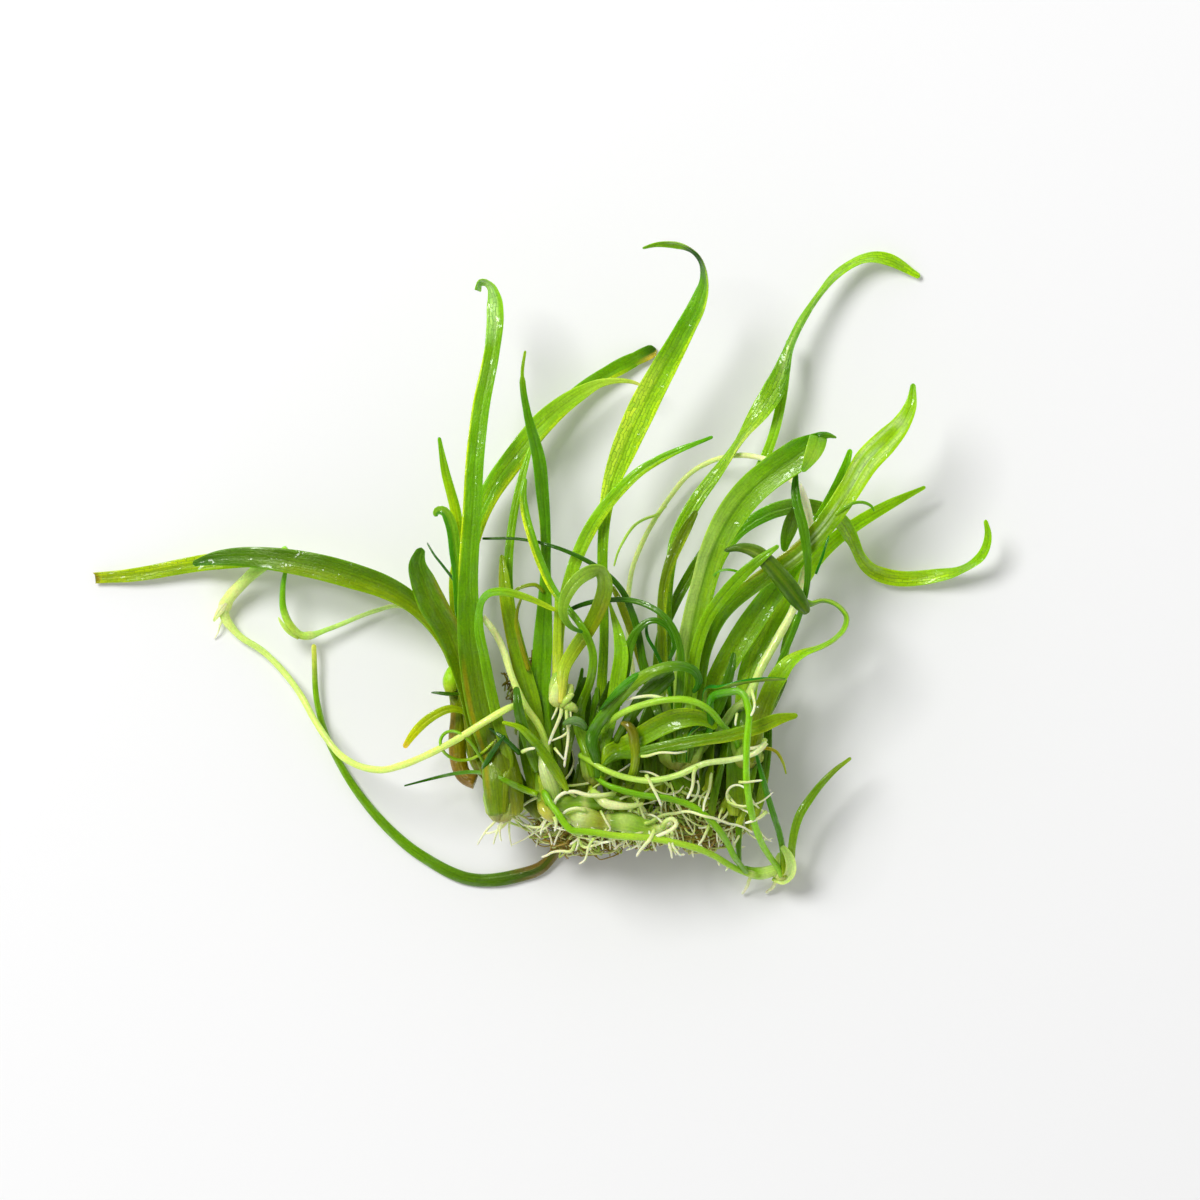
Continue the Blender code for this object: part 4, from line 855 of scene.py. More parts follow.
def stem(path, tones, nodes=(), swell=0.25, flat=1.0, girth=None, wave=0.03, lift=None):
    """The skin of a round stem, swollen at its nodes and uneven by its `wave`.

    `nodes` are shares of its length. `girth` is how much wider than its CAD solid it is, and `lift` how far
    it bows up, at shares of its length.
    """
    centre, side, width, along = path
    if girth:
        width = width * spread_along(girth, along)
    if lift:
        centre = centre + eased(spread_along(lift, along), 3)[:, None] * [0, 0, 1]
    share = along / along[-1]
    angle = angles_round(RUNNER_AROUND)
    bulges = (swell * np.exp(-(((share - node) * along[-1] / NODE_SWELLING) ** 2)) for node in nodes)
    bulge = 1 + sum(bulges) + 0 * share
    radius = (width / 2 * bulge)[:, None] * (1 + FLUTE_DEPTH * np.cos(FLUTES * angle))
    radius = radius * (1 + wave * np.sin(along * UNEVEN))[:, None]
    rings = tube((centre, side, width, along), radius, angle, flat)
    tone = np.broadcast_to(blend_tones(tones, share)[:, None], rings.shape).copy()
    for node in nodes:
        ring = np.exp(-(((share - node) * along[-1] / NODE_RING) ** 2))[:, None, None] * NODE_PALENESS
        tone = tone * (1 - ring) + paint(NODE_TONE) * ring
    around = np.broadcast_to(angle, radius.shape) / (2 * np.pi)
    place = np.stack([around * width.mean() * 3, along[:, None] + 0 * angle, 0.5 + 0 * radius], axis=-1)
    return rings, tone, place


def runner(node, base, tones, nodes=(), slot="pale_runner", foot=(), beyond=(), nudges=(), **shape):
    """A runner in place of its CAD node."""
    skin = stem(nudged(from_cad(node, base, 1.0, foot, beyond), nudges), tones, nodes, **shape)
    return grown(node + "_stem", [skin], runner_finish, slot, node)


runner_finish = living_skin(
    "runner_tissue", long_cells=2.2, depth=0.2, gloss=0.28, glow=0.5, wet=0.7, tint=(1.07, 1.05, 0.85, 1)
)
runner(
    "runner_left", (51.2, 70.6, 12.2),
    {0: (215, 240, 130), 0.45: (210, 235, 130), 0.75: (205, 235, 135), 0.88: (215, 230, 150),
     0.93: (180, 225, 110), 1: (140, 205, 40)},
    nodes=(0.84,),
    foot=[(51.8, 73.2, 6.6), (51.9, 71.8, 8.6), (51.9, 70.9, 10.4), (51.6, 70.5, 11.6)],
)
runner(
    "runner_side_shoot", "crown_left",
    {0: (190, 220, 130), 0.6: (205, 235, 160), 0.78: (180, 225, 110), 0.85: (190, 220, 90),
     0.9: (120, 180, 30), 1: (100, 165, 20)},
    nodes=(0.79,),
)
runner("runner_short", "crown_middle", {0: (165, 210, 60), 0.4: (205, 240, 110), 1: (235, 250, 190)})
runner(
    "runner_arching_back", (75, 70, 8.3),
    {0: (165, 205, 90), 0.2: (215, 236, 155), 0.45: (252, 255, 235), 0.6: (215, 235, 155),
     1: (222, 240, 175)},
    foot=[(69.8, 75.2, 6.3), (71.2, 73.8, 7.3), (72.4, 72.2, 8), (73.4, 70.8, 8.3)],
    nudges=[(75, 70, -0.7, 0.1, 0, 1)],
    lift={0.32: 0, 0.43: 3.5, 0.51: 3.3, 0.62: 0},
    girth={0.36: 1, 0.42: 1.35, 0.48: 1.35, 0.54: 1},
)
runner(
    "runner_over_front", "crown_centre",
    {0: (130, 185, 20), 0.35: (170, 212, 80), 0.5: (150, 200, 45), 0.75: (120, 180, 20), 1: (90, 150, 20)},
    beyond=[(73.8, 74.8, 8.8), (74.2, 76, 7)],
    nudges=[(60, 73.2, 0.4, 0, -2, 2.2)],
    girth={0: 0.9},
)
runner(
    "runner_centre", (60.4, 76.8, 10.7),
    {0: (140, 185, 50), 0.15: (175, 215, 80), 0.5: (190, 224, 125), 1: (222, 236, 190)},
    foot=[(58, 75.4, 9), (59.2, 76.1, 10.1)],
    girth={0: 0.82},
)
runner(
    "runner_front", "crown_middle",
    {0: (105, 165, 15), 0.2: (135, 190, 25), 0.4: (170, 212, 60), 0.7: (165, 210, 60),
     0.9: (150, 200, 50), 1: (195, 215, 110)},
    nodes=(0.88,), slot="mid_leaf",
    beyond=[(77.5, 87.1, 2.6), (78.3, 86.9, 2.4)],
    nudges=[(56.2, 82, 0.3, -0.6, 0.2, 2.6), (59.5, 83.9, 0, -0.5, 0.1, 3),
            (54.1, 79.6, 0.2, -0.6, 0, 1.1), (57, 82, -0.1, 0.75, 0, 1.3), (64.5, 84.1, 0, -0.35, 0, 3.5)],
    swell=0.15, girth={0: 0.74},
)
runner(
    "runner_front_upper", (60.4, 78.2, 9.8),
    {0: (120, 180, 30), 0.3: (108, 165, 12), 0.6: (128, 182, 20), 1: (105, 160, 12)},
    slot="mid_leaf",
    foot=[(58.6, 76.8, 8.2), (59.5, 77.5, 9.1)],
    beyond=[(74, 86.4, 5.6), (74.5, 87.1, 4.4)],
    flat=0.6, girth={0: 0.9},
)
runner(
    "runner_to_offset", "crown_offset",
    {0: (150, 205, 60), 0.35: (135, 200, 18), 0.68: (128, 192, 20), 0.8: (70, 140, 12), 1: (45, 110, 10)},
    slot="fresh_leaf",
    beyond=[(71.4, 71.8, 12.2), (70.9, 73, 10.8), (70.4, 74.2, 9.2)],
    nudges=[(72, 70.8, -0.9, -1, 0, 1.4)],
    girth={0.7: 0.9, 0.8: 1.1},
)

# Rhizome at the front
# The swollen stem from which the front runner starts: two pale, watery bulbs end to end, narrowing to a
# curled white stub, with the scars of old leaves across them.
BULB_NUDGES = [
    (59, 81.9, -0.3, -0.15, 0.1, 1.6), (62.4, 82.4, -0.1, -0.5, 0.15, 1.5),
    (66.4, 82.2, -0.3, 0.4, 0, 1.2),
]
BULB_GIRTH = {0: 0.7, 0.16: 1.15, 0.4: 0.62, 0.56: 1.1, 0.8: 0.75, 1: 0.5}


def small_stem(rows, tones, **shape):
    """The skin of a short stem by its rows from tip to base."""
    return stem(drawn(rows), tones, **shape)


bulb_line, side, width, along = nudged(from_cad("rhizome_front", (56.6, 80.9, 8.8)), BULB_NUDGES)
bulb_path = bulb_line, side, eased(width * spread_along(BULB_GIRTH, along), 2), along
grown(
    "rhizome_front_bulbs",
    [
        stem(
            bulb_path,
            # The palest bands are the bulbs' own whitish colour, made paler still as painted highlight.
            {0: (140, 180, 60), 0.08: (170, 195, 90), 0.18: (214, 226, 170), 0.27: (176, 194, 90),
             0.36: (145, 145, 38), 0.44: (105, 150, 25), 0.54: (185, 212, 115), 0.68: (142, 186, 55),
             0.82: (178, 206, 92), 0.94: (225, 236, 180), 1: (245, 248, 225)},
            nodes=(0.41, 0.84), swell=0.06,
        ),
        small_stem(
            [(64.3, 80.2, 9.6, 0.3), (63, 80.45, 9.9, 0.6), (61.6, 80.4, 10.1, 0.85),
             (60.6, 80.2, 10.1, 1.2), (59.9, 79.6, 9.8, 0.9), (59.2, 78.9, 9.2, 0.7)],
            {0: (165, 200, 70), 0.3: (215, 228, 165), 0.5: (225, 235, 185), 0.8: (205, 226, 150),
             1: (200, 220, 130)},
        ),
        small_stem(
            [(55.3, 81.9, 9.3, 0.5), (54.95, 81.4, 9.7, 1.1), (54.4, 80.8, 9.6, 1.2),
             (54.1, 80.2, 9.1, 0.8)],
            {0: (140, 150, 50), 0.4: (185, 185, 80), 1: (205, 200, 110)},
        ),
        small_stem(
            [(62, 79.9, 8.5, 0.7), (60.6, 80.1, 8.7, 1.4), (58.8, 80.2, 8.8, 1.8), (57.2, 80.3, 8.8, 1.9),
             (55.9, 80.1, 8.7, 1.5), (55.2, 79.6, 8.4, 0.9)],
            {0: (160, 190, 90), 0.3: (128, 168, 45), 0.6: (112, 158, 28), 0.85: (150, 185, 70),
             1: (140, 185, 50)},
            nodes=(0.5,), swell=0.05,
        ),
    ],
    runner_finish, "crown_tissue", "rhizome_front",
)

# Offset plantlet
# A young plant at the end of the front runner, with a small pale crown and two narrow leaves. Its first two
# roots come with the other roots.
leaf(
    "offset_leaf_dark", "crown_offset",
    {0: (130, 180, 60), 0.3: (70, 150, 10), 1: (40, 120, 10)},
    cup=-0.2, **WIRY,
)
leaf(
    "offset_leaf_pointed", "crown_offset",
    {0: (130, 175, 60), 0.3: (105, 160, 40), 0.7: (95, 150, 20), 1: (110, 150, 20)},
)
grown(
    "offset_joint",
    [
        small_stem(
            [(78.2, 86.6, 2.6, 0.9), (77.2, 87, 2.8, 1.25), (76.2, 87.25, 2.9, 1.35),
             (75.2, 87.2, 3.3, 1.15), (74.4, 86.8, 3.9, 0.7)],
            {0: (125, 185, 25), 0.3: (150, 205, 50), 0.55: (195, 226, 130), 0.8: (185, 220, 110),
             1: (150, 205, 60)},
        ),
    ],
    runner_finish, "pale_runner",
)
leaf(
    "leaf_low_left", (54, 86.8, 0.6),
    {0: (90, 95, 25), 0.15: (55, 90, 10), 0.3: (70, 120, 8), 0.5: (88, 150, 10), 0.9: (105, 168, 12),
     1: (190, 220, 140)},
    [((0.02, 0.2), (0.3, 1.1), (115, 95, 35), 0.7), ((0.02, 0.2), (-1.1, -0.4), (110, 95, 35), 0.6)],
    foot=[(57.4, 83, 1.8), (55.7, 85, 1.1)],
    cup=-0.25, thick=1.4,
)

# Packed leaf bases between the crowns
# Young shoots and the stubs of old leaves stand packed between the crowns, under the leaves that show. They
# are narrow, dark green as old bases are and darker still as painted shade for the gaps, and have no place
# of their own in the CAD, which keeps only the leaves around them.
PACKED = 76
STRAY = 7  # this one would touch none of the others
PACKED_X, PACKED_Y, PACKED_HEIGHT = (53.5, 75.6), (78.5, 83.5), (2.3, 7.4)  # where they stand
PACKED_LENGTH, PACKED_WIDTH = (6.0, 13.5), (0.9, 2.3)
PACKED_LEAN, PACKED_BOW, PACKED_RISE = 0.2, 1.2, 1.2
CROWN_FLOOR = 3.6  # a base that starts lower than this starts further up the plant
PACKED_TIP, PACKED_FOOT = 0.25, 0.55  # how narrow it is there
# dark green, kept dark as painted shade in the gaps between the crowns
PACKED_SHADED_TONES = {0: (135, 170, 65), 0.2: (105, 150, 25), 0.6: (76, 128, 8), 1: (66, 116, 8)}

draw = np.random.default_rng(5)
packed = []
for index in range(PACKED):
    x, y = draw.uniform(*PACKED_X), draw.uniform(*PACKED_Y)
    length, lean = draw.uniform(*PACKED_LENGTH), draw.normal(0.0, PACKED_LEAN)
    height, width = draw.uniform(*PACKED_HEIGHT), draw.uniform(*PACKED_WIDTH)
    y -= max(0, CROWN_FLOOR - height)
    bow = draw.normal(0.0, PACKED_BOW)
    rows = []
    for share in (1.0, 0.8, 0.5, 0.2, 0.0):
        shift = lean * length * share + bow * share * (1 - share)
        rise = height + PACKED_RISE * share * draw.uniform(0.2, 1.0)
        narrow = width * {1.0: PACKED_TIP, 0.0: PACKED_FOOT}.get(share, 1.0 - 0.25 * share)
        rows.append((x + shift, y - length * share, rise, narrow))
    green = draw.uniform(0.7, 1.2)
    tones = {place: np.array(tone) * green for place, tone in PACKED_SHADED_TONES.items()}
    skin = small_blade(rows, tones, turn=draw.normal(0, 25), grip=-0.8)
    if index != STRAY:
        packed.append(skin)
grown("packed_leaf_bases", packed, leaf_finish, "mid_leaf")

# Small leaves
# Hair-thin, curled or half hidden leaves that fill the clump out. Each lies on the pieces beneath it, and
# the thinnest are no wider than a thread.
SLOPE = 0.8  # how steeply such a leaf can climb over another
LIE_STEP, LOWEST = 0.5, 0.1
SKY = 40  # a height above everything

corners, panels = [], []
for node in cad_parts:
    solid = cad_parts[node].data
    panels += [[len(corners) + index for index in panel.vertices] for panel in solid.polygons]
    corners += [vert.co / MM for vert in solid.vertices]
clump = bvhtree.BVHTree.FromPolygons(corners, panels)


def lie(rows, lift=0.0, sink=1.0):
    """A path by x, y and width, with the heights at which it lies on the pieces beneath it."""
    rows = np.array(rows, float)
    at = walked(rows[:, :2])
    places = np.linspace(0, at[-1], max(4, int(at[-1] / LIE_STEP)))
    x, y, width = (np.interp(places, at, rows[:, i]) for i in range(3))
    if len(places) > 12:
        x, y = eased(x, 2), eased(y, 2)
    heights = []
    for here in np.stack([x, y], axis=1):
        hit = clump.ray_cast(Vector(on_sheet((*here, SKY))), Vector((0, 0, -1)))[0]
        heights.append(hit.z if hit else 0.0)
    away = np.abs(places[:, None] - places[None, :])
    heights = (np.array(heights)[None, :] * sink - away * SLOPE).max(axis=1)
    return np.column_stack([x, y, eased(np.maximum(heights, LOWEST), 1) + width / 2 + lift, width])


def small_leaf(name, rows, tones, finish=None, slot="mid_leaf", **shape):
    """A small leaf by its rows from tip to base."""
    return grown(name, [small_blade(rows, tones, **shape)], finish or leaf_finish, slot)


small_leaf(
    "left_leaf_hair_thin",
    [(42.8, 54.3, 6.5, 0.16), (43.5, 55.5, 6.8, 0.24), (44.3, 56.5, 7, 0.26), (45.5, 58.1, 7.3, 0.3),
     (46.8, 60.5, 7.4, 0.3)],
    {0: (40, 110, 15), 1: (15, 85, 10)},
    **WIRY,
)
small_leaf(
    "left_leaf_tiny_dark",
    [(43.2, 69.2, 6.6, 0.14), (44, 69.25, 6.8, 0.36), (44.9, 69.35, 6.8, 0.42), (46, 69.3, 6.5, 0.4)],
    {0: (60, 110, 10), 1: (15, 80, 5)},
    **WIRY,
)
grown(
    "left_bud",
    [
        small_stem(
            [(45.3, 66.6, 6.2, 0.5), (45.25, 67.1, 6.4, 1.3), (45.2, 67.9, 6.5, 1.75),
             (45.15, 68.7, 6.4, 1.5), (45.1, 69.3, 6, 0.9)],
            {0: (150, 120, 40), 0.2: (165, 185, 50), 0.5: (150, 200, 30), 1: (140, 195, 20)},
        ),
    ],
    runner_finish, "fresh_leaf",
)
curl_rows = [
    (49.7, 73.8, 0.3), (48.5, 75.2, 0.3), (47, 76.1, 0.32), (45, 75.9, 0.32), (43.8, 74.4, 0.32),
    (44, 73.3, 0.32), (44.7, 72.8, 0.32), (45.5, 72.7, 0.32), (46.3, 73, 0.32), (47.6, 74.5, 0.34),
    (48.3, 76, 0.34), (49.3, 77.4, 0.34),
]
grown(
    "left_leaf_curl",
    [small_stem(lie(curl_rows), {0: (110, 165, 20), 0.5: (105, 175, 20), 1: (150, 200, 50)})],
    leaf_finish, "fresh_leaf",
)
small_leaf(
    "left_base_sheath",
    [(48.1, 69, 9.8, 0.6), (48.7, 71.2, 9.9, 1.6), (49.6, 73.6, 10, 2.4), (50.4, 76.2, 10.2, 2.9),
     (51.1, 78.8, 9.8, 2.8), (51.4, 81.2, 8.4, 2)],
    {0: (130, 155, 50), 0.2: (92, 122, 12), 0.7: (70, 102, 3), 1: (60, 96, 3)},
    slot="olive_leaf", grip=-0.7, cup=-0.6,
)
small_leaf(
    "left_leaf_over_runner",
    [(51.7, 68.6, 12.1, 0.4), (51.8, 69.6, 12.6, 0.9), (51.9, 70.6, 12.7, 1), (52.3, 72.4, 12, 1.1),
     (53, 74.6, 10.9, 1.1), (53.8, 77, 9.8, 1)],
    {0: (70, 120, 10), 1: (50, 108, 6)},
    **WIRY,
)
small_leaf(
    "left_stroke_upper",
    lie([(49, 72.7, 0.2), (49.8, 73.2, 0.42), (50.9, 74.1, 0.5), (52, 75.2, 0.5)], 0.2),
    {0: (40, 105, 10), 1: (20, 80, 5)},
    **WIRY,
)
small_leaf(
    "left_stroke_lower",
    lie([(50.6, 73.4, 0.2), (49.9, 74.3, 0.45), (49.2, 75.3, 0.55), (48.4, 76.7, 0.5)], 0.4),
    {0: (40, 105, 10), 1: (20, 80, 5)},
    **WIRY,
)
low_rows = [
    (44, 77.6, 0.34), (46, 77.1, 0.38), (48, 77, 0.4), (49.2, 77.2, 0.4), (50.5, 77.8, 0.5),
    (51.5, 78.4, 0.7), (53, 79.1, 0.7), (53.8, 79.3, 0.6),
]
low_lying = lie(low_rows, 0.2)
small_leaf(
    "left_leaf_low_wiry",
    [(40.5, 78.5, 6.4, 0.16), *low_lying],
    {0: (110, 175, 15), 0.3: (80, 150, 10), 0.6: (60, 128, 8), 1: (35, 90, 5)},
    **WIRY,
)
small_leaf(
    "middle_crown_sheath",
    [(54.2, 75, 10.3, 0.5), (54.5, 76.2, 10.7, 1.4), (55, 77.6, 10.8, 1.9), (55.4, 78.8, 10.4, 1.8),
     (55.6, 79.7, 9.7, 1.2)],
    {0: (150, 180, 80), 0.4: (178, 200, 125), 0.75: (200, 218, 165), 1: (140, 180, 70)},
    runner_finish, "crown_tissue", cup=-0.6, grip=-0.7,
)
small_leaf(
    "middle_leaf_brown",
    [(50.25, 55.5, 9, 0.3), (50.4, 57.2, 9.3, 1), (50.6, 59.2, 9.4, 1.3), (51.2, 62.4, 9.3, 1.6),
     (52.1, 66.2, 9, 1.8), (53.2, 70.2, 8.4, 1.8), (54, 75, 7.2, 1.6)],
    {0: (120, 170, 40), 0.5: (105, 160, 20), 0.9: (110, 155, 10), 1: (95, 135, 10)},
    slot="olive_leaf",
    marks=[((0.3, 0.97), (-1.1, -0.7), (120, 110, 15), 0.5)],
)
small_leaf(
    "middle_arch_olive",
    [(51.3, 59.6, 9.2, 0.2), (51.7, 59, 9.6, 0.34), (52.6, 58.6, 9.8, 0.4), (53.6, 58.5, 9.8, 0.4),
     (54.4, 59.2, 9.3, 0.4)],
    {0: (110, 145, 15), 1: (105, 145, 12)},
    slot="olive_leaf",
)
small_leaf(
    "middle_strand_olive",
    [(52.2, 59.8, 10.4, 0.2), (51.8, 61, 10.6, 0.36), (51.7, 62.4, 10.4, 0.4), (52.1, 64.2, 10, 0.45),
     (52.9, 67, 9.4, 0.5)],
    {0: (120, 135, 20), 1: (108, 140, 15)},
    slot="olive_leaf",
)
small_leaf(
    "middle_leaf_pale",
    [(55.7, 59.6, 10.4, 0.3), (55.8, 61.5, 10.4, 0.8), (55.75, 64, 10.2, 0.9), (55.7, 67, 9.8, 0.9),
     (55.6, 70, 9.4, 0.8)],
    {0: (170, 210, 90), 0.6: (150, 200, 60), 1: (120, 180, 30)},
    slot="fresh_leaf",
)
small_leaf(
    "middle_leaf_grey_green",
    [(56.3, 72.35, 11.2, 0.3), (56.9, 72, 11.5, 0.75), (57.5, 71.95, 11.6, 0.95), (58.1, 72.2, 11.3, 0.9),
     (58.6, 72.8, 10.6, 0.6)],
    {0: (70, 115, 25), 0.5: (105, 138, 90), 1: (85, 125, 50)},
    runner_finish, "dark_leaf", cup=-0.6,
)
small_leaf(
    "centre_sheath_golden",
    [(62.1, 72.1, 12, 0.3), (62.7, 72.3, 12.4, 0.8), (63.2, 73, 12.4, 1.15), (63.4, 74.2, 12, 1.05),
     (63.5, 75.5, 11.5, 0.9), (63.3, 77, 10.7, 0.85), (62.7, 78.1, 9.3, 0.7)],
    {0: (100, 145, 20), 0.3: (118, 158, 40), 0.6: (108, 138, 28), 0.8: (100, 112, 22),
     0.92: (100, 104, 20), 1: (120, 125, 50)},
    slot="olive_leaf", cup=-0.5, wave=0.15,
)
small_leaf(
    "centre_leaf_young",
    [(60.9, 60.2, 9.6, 0.2), (61.3, 61.5, 10, 0.5), (61.8, 63.2, 10.3, 1), (62.1, 65.2, 10.4, 1.5),
     (61.8, 67.8, 10.3, 1.6), (61.4, 70.4, 10, 1.6)],
    {0: (110, 170, 20), 0.6: (110, 180, 25), 1: (130, 190, 40)},
    slot="fresh_leaf", cup=0.4,
)
small_leaf(
    "centre_leaf_hooked_dark",
    [(64.8, 62, 9.4, 0.14), (64.6, 62.8, 9.8, 0.34), (64.7, 63.6, 9.9, 0.36), (65.4, 64.9, 9.7, 0.36),
     (66.2, 66.6, 9.2, 0.36), (66.9, 69, 8.8, 0.36), (67.4, 71.6, 8.4, 0.36)],
    {0: (50, 125, 10), 1: (20, 95, 5)},
    **WIRY,
)
small_leaf(
    "right_leaf_small_hook",
    [(87.2, 51.2, 11, 0.16), (86.9, 50.7, 11.3, 0.3), (86.2, 50.35, 11.5, 0.34),
     (85.3, 50.35, 11.6, 0.34), (84.3, 50.8, 11.4, 0.32), (83.4, 51.6, 11, 0.32)],
    {0: (100, 165, 20), 1: (80, 150, 10)},
)
small_leaf(
    "right_leaf_small_olive",
    [(78.3, 55.2, 8.6, 0.3), (78.4, 54.3, 8.9, 1.1), (78.8, 53, 9.1, 1.6), (79.2, 51.8, 9.2, 1.5),
     (79.7, 50.6, 9.2, 0.9), (80.1, 49.8, 9, 0.5)],
    {0: (66, 124, 10), 0.4: (70, 112, 10), 1: (72, 134, 8)},
    slot="olive_leaf",
)
small_leaf(
    "right_tendril_upper",
    [(71.2, 57.6, 11.6, 0.14), (71.8, 57.15, 11.8, 0.24), (72.7, 57, 12, 0.26), (73.5, 57.15, 12, 0.26),
     (74.4, 57.6, 11.8, 0.24)],
    {0: (90, 160, 20), 1: (70, 150, 10)},
)
small_leaf(
    "right_tendril_dark",
    [(82.7, 53.6, 11.4, 0.14), (82.4, 54.5, 11.5, 0.26), (82, 55.8, 11.4, 0.28), (81.4, 57.4, 11, 0.26)],
    {0: (30, 110, 10), 1: (30, 120, 10)},
    **WIRY,
)
small_leaf(
    "right_leaf_small_point",
    [(79.5, 61.4, 8.4, 0.2), (79.1, 62.4, 8.4, 0.7), (78.7, 63.6, 8.2, 0.9), (78.3, 65.4, 7.8, 0.9)],
    {0: (110, 175, 20), 1: (90, 160, 10)},
)
grown(
    "right_runner_branch",
    [
        small_stem(
            [(61.4, 56.6, 2.2, 0.16), (61.8, 55.2, 2.6, 0.26), (62.3, 54.2, 2.9, 0.28),
             (62.9, 53.2, 3, 0.3), (63.5, 52.5, 3, 0.3), (64.5, 51.9, 2.8, 0.3), (65.6, 51.5, 2.5, 0.28),
             (66.6, 50.6, 2.1, 0.26)],
            {0: (185, 220, 110), 1: (175, 215, 100)},
        ),
    ],
    runner_finish, "pale_runner",
)
small_leaf(
    "front_leaf_glossy",
    [(60, 70.9, 12.4, 0.2), (61.2, 69.6, 13.6, 0.7), (62.5, 68.4, 14.2, 0.9), (63.6, 67.6, 14.4, 0.9),
     (64.8, 67.2, 14, 0.7)],
    {0: (40, 120, 10), 0.5: (60, 140, 20), 1: (30, 100, 5)},
    cup=-0.4, **WIRY,
)
small_leaf(
    "front_leaf_round_dark",
    [(67.3, 67.2, 12.8, 0.9), (66.4, 67.9, 13, 1.8), (65.4, 68.7, 13, 2), (64.4, 69.6, 12.6, 1.7),
     (63.6, 70.6, 12, 1.3), (62.6, 72.2, 11, 1), (61.6, 74, 9.6, 0.8)],
    {0: (65, 115, 8), 1: (50, 102, 6)},
    cup=-0.4, **WIRY,
)
small_leaf(
    "front_leaf_olive_hook",
    [(78.5, 77.3, 9, 0.14), (78.1, 76, 9.6, 0.3), (77.4, 75, 10, 0.34), (76.5, 74.7, 10.2, 0.34),
     (75.6, 74.9, 10.2, 0.34)],
    {0: (150, 150, 20), 1: (120, 160, 20)},
    slot="olive_leaf",
)
small_leaf(
    "front_spur_on_runner",
    [(73.95, 86.7, 4.9, 0.3), (73.8, 84.6, 5.8, 0.6), (73.8, 82.6, 6.4, 0.65), (73.7, 80.4, 6.6, 0.6),
     (73.6, 78.4, 6.4, 0.5)],
    {0: (90, 140, 15), 1: (80, 140, 12)},
)

# Ends of the side runners
# Where each long runner has stopped growing stands a tiny pale crown with a frayed scale or two and a thread
# of a root.
PALE_SKIN = {"finish": runner_finish, "slot": "pale_runner"}

small_leaf(
    "runner_left_scale",
    [(21.4, 62.1, 1.2, 0.2), (21.7, 61.6, 1.6, 0.5), (22.1, 61, 1.9, 0.8), (22.7, 60.3, 2, 0.6)],
    {0: (225, 235, 190), 1: (200, 225, 140)},
    wave=0.12, **PALE_SKIN,
)
small_leaf(
    "runner_side_shoot_scale",
    [(27.9, 61.7, 3.2, 0.14), (28.3, 62.4, 3.2, 0.4), (29, 63.2, 3.1, 0.5), (29.9, 63.8, 2.8, 0.4)],
    {0: (160, 195, 70), 1: (200, 230, 140)},
    **PALE_SKIN,
)
small_leaf(
    "offset_sheath",
    [(78.1, 84.5, 4.6, 0.4), (78.7, 85.3, 4.7, 0.9), (79.05, 86.4, 4.3, 1.1), (78.9, 87.4, 3.4, 1),
     (78.1, 88, 2.5, 0.8), (77.3, 87.7, 2.2, 0.7)],
    {0: (195, 222, 130), 0.6: (195, 222, 145), 1: (165, 205, 95)},
    cup=0.8, grip=0.8, **PALE_SKIN,
)

# Roots
# White roots as thick as a thread grow out of the crowns and the rhizome, and a felt of fine brown ones
# fills the space between them. They carry the clump where it lies on the surface.
ROOT_AROUND = 6
ROOT_TIP, ROOT_POINT, ROOT_TAPER = 0.6, 0.35, 4  # how thin a root ends, how blunt and how suddenly
ROOT_WHITE = {0: (185, 218, 105), 0.3: (222, 240, 170), 1: (244, 250, 222)}
ROOT_PALE = {0: (150, 190, 70), 0.4: (200, 220, 140), 1: (225, 235, 180)}
ROOT_BROWN = {0: (150, 142, 60), 0.5: (138, 112, 50), 1: (165, 140, 80)}
FINE, COARSE = (0.1, 0.18), (0.14, 0.28)  # widths of the strands of a felt
FELT_STEP, FELT_FLOOR = 0.2, 0.15
FELT_FILL = [0.97, 0.82, 1.0]  # how much of its envelope a felt fills, and how far up it sits
FELT_RAISED, DROOP = [0, 0.6, 0], [0, -0.6, 0]


def root_skin(points, width, tones):
    """The skin of a root along a smooth line through its points, thinner towards its tip."""
    centres = np.array(points)
    way = unit(np.gradient(centres, axis=0))
    side = unit(np.cross(way, [0.3, 0.2, 0.93]))
    path = route(centres, side, width * np.linspace(1, ROOT_TIP, len(centres)))
    width, along = path[2:]
    angle = angles_round(ROOT_AROUND)
    blunt = np.minimum(1, ROOT_POINT + (along[-1] - along) * ROOT_TAPER)
    radius = (width / 2 * blunt)[:, None] + 0 * angle
    rings = tube(path, radius, angle)
    tone = np.broadcast_to(blend_tones(tones, along / along[-1])[:, None], rings.shape)
    place = np.stack([radius * angle, along[:, None] + 0 * angle, 0.5 + 0 * radius], axis=-1)
    return rings, tone, place


root_finish = living_skin(
    "root_tissue", long_cells=3.0, depth=0.15, gloss=0.34, glow=0.4, wet=0.4, tint=(1.08, 1.05, 0.95, 1)
)
felt_finish = living_skin(
    "root_felt", long_cells=3.0, depth=0.4, gloss=0.5, glow=0.15, wet=0.2, tint=(1.05, 1, 0.8, 1)
)

draw = np.random.default_rng(11)


def strands(centre, half, count, width, tones, loose=1.1):
    """Fine roots that wander through a round space and a little way out of it."""
    skins = []
    for _ in range(count):
        spot = unit(draw.normal(size=3)) * draw.uniform(0.2, 0.95)
        heading = unit(draw.normal(size=3) + DROOP)
        limit = draw.uniform(0.85, loose)
        points = [spot]
        for _ in range(draw.integers(5, 11)):
            heading = unit(heading + draw.normal(size=3) * 0.5)
            if np.linalg.norm(spot + heading * FELT_STEP) > limit:
                heading = unit(heading * 0.4 - unit(spot) + draw.normal(size=3) * 0.4)
            spot = spot + heading * FELT_STEP
            points.append(spot)
        points = centre + np.array(points) * half
        points[:, 2] = np.clip(points[:, 2], FELT_FLOOR, None)
        skins.append(root_skin(points, draw.uniform(*width), tones))
    return skins


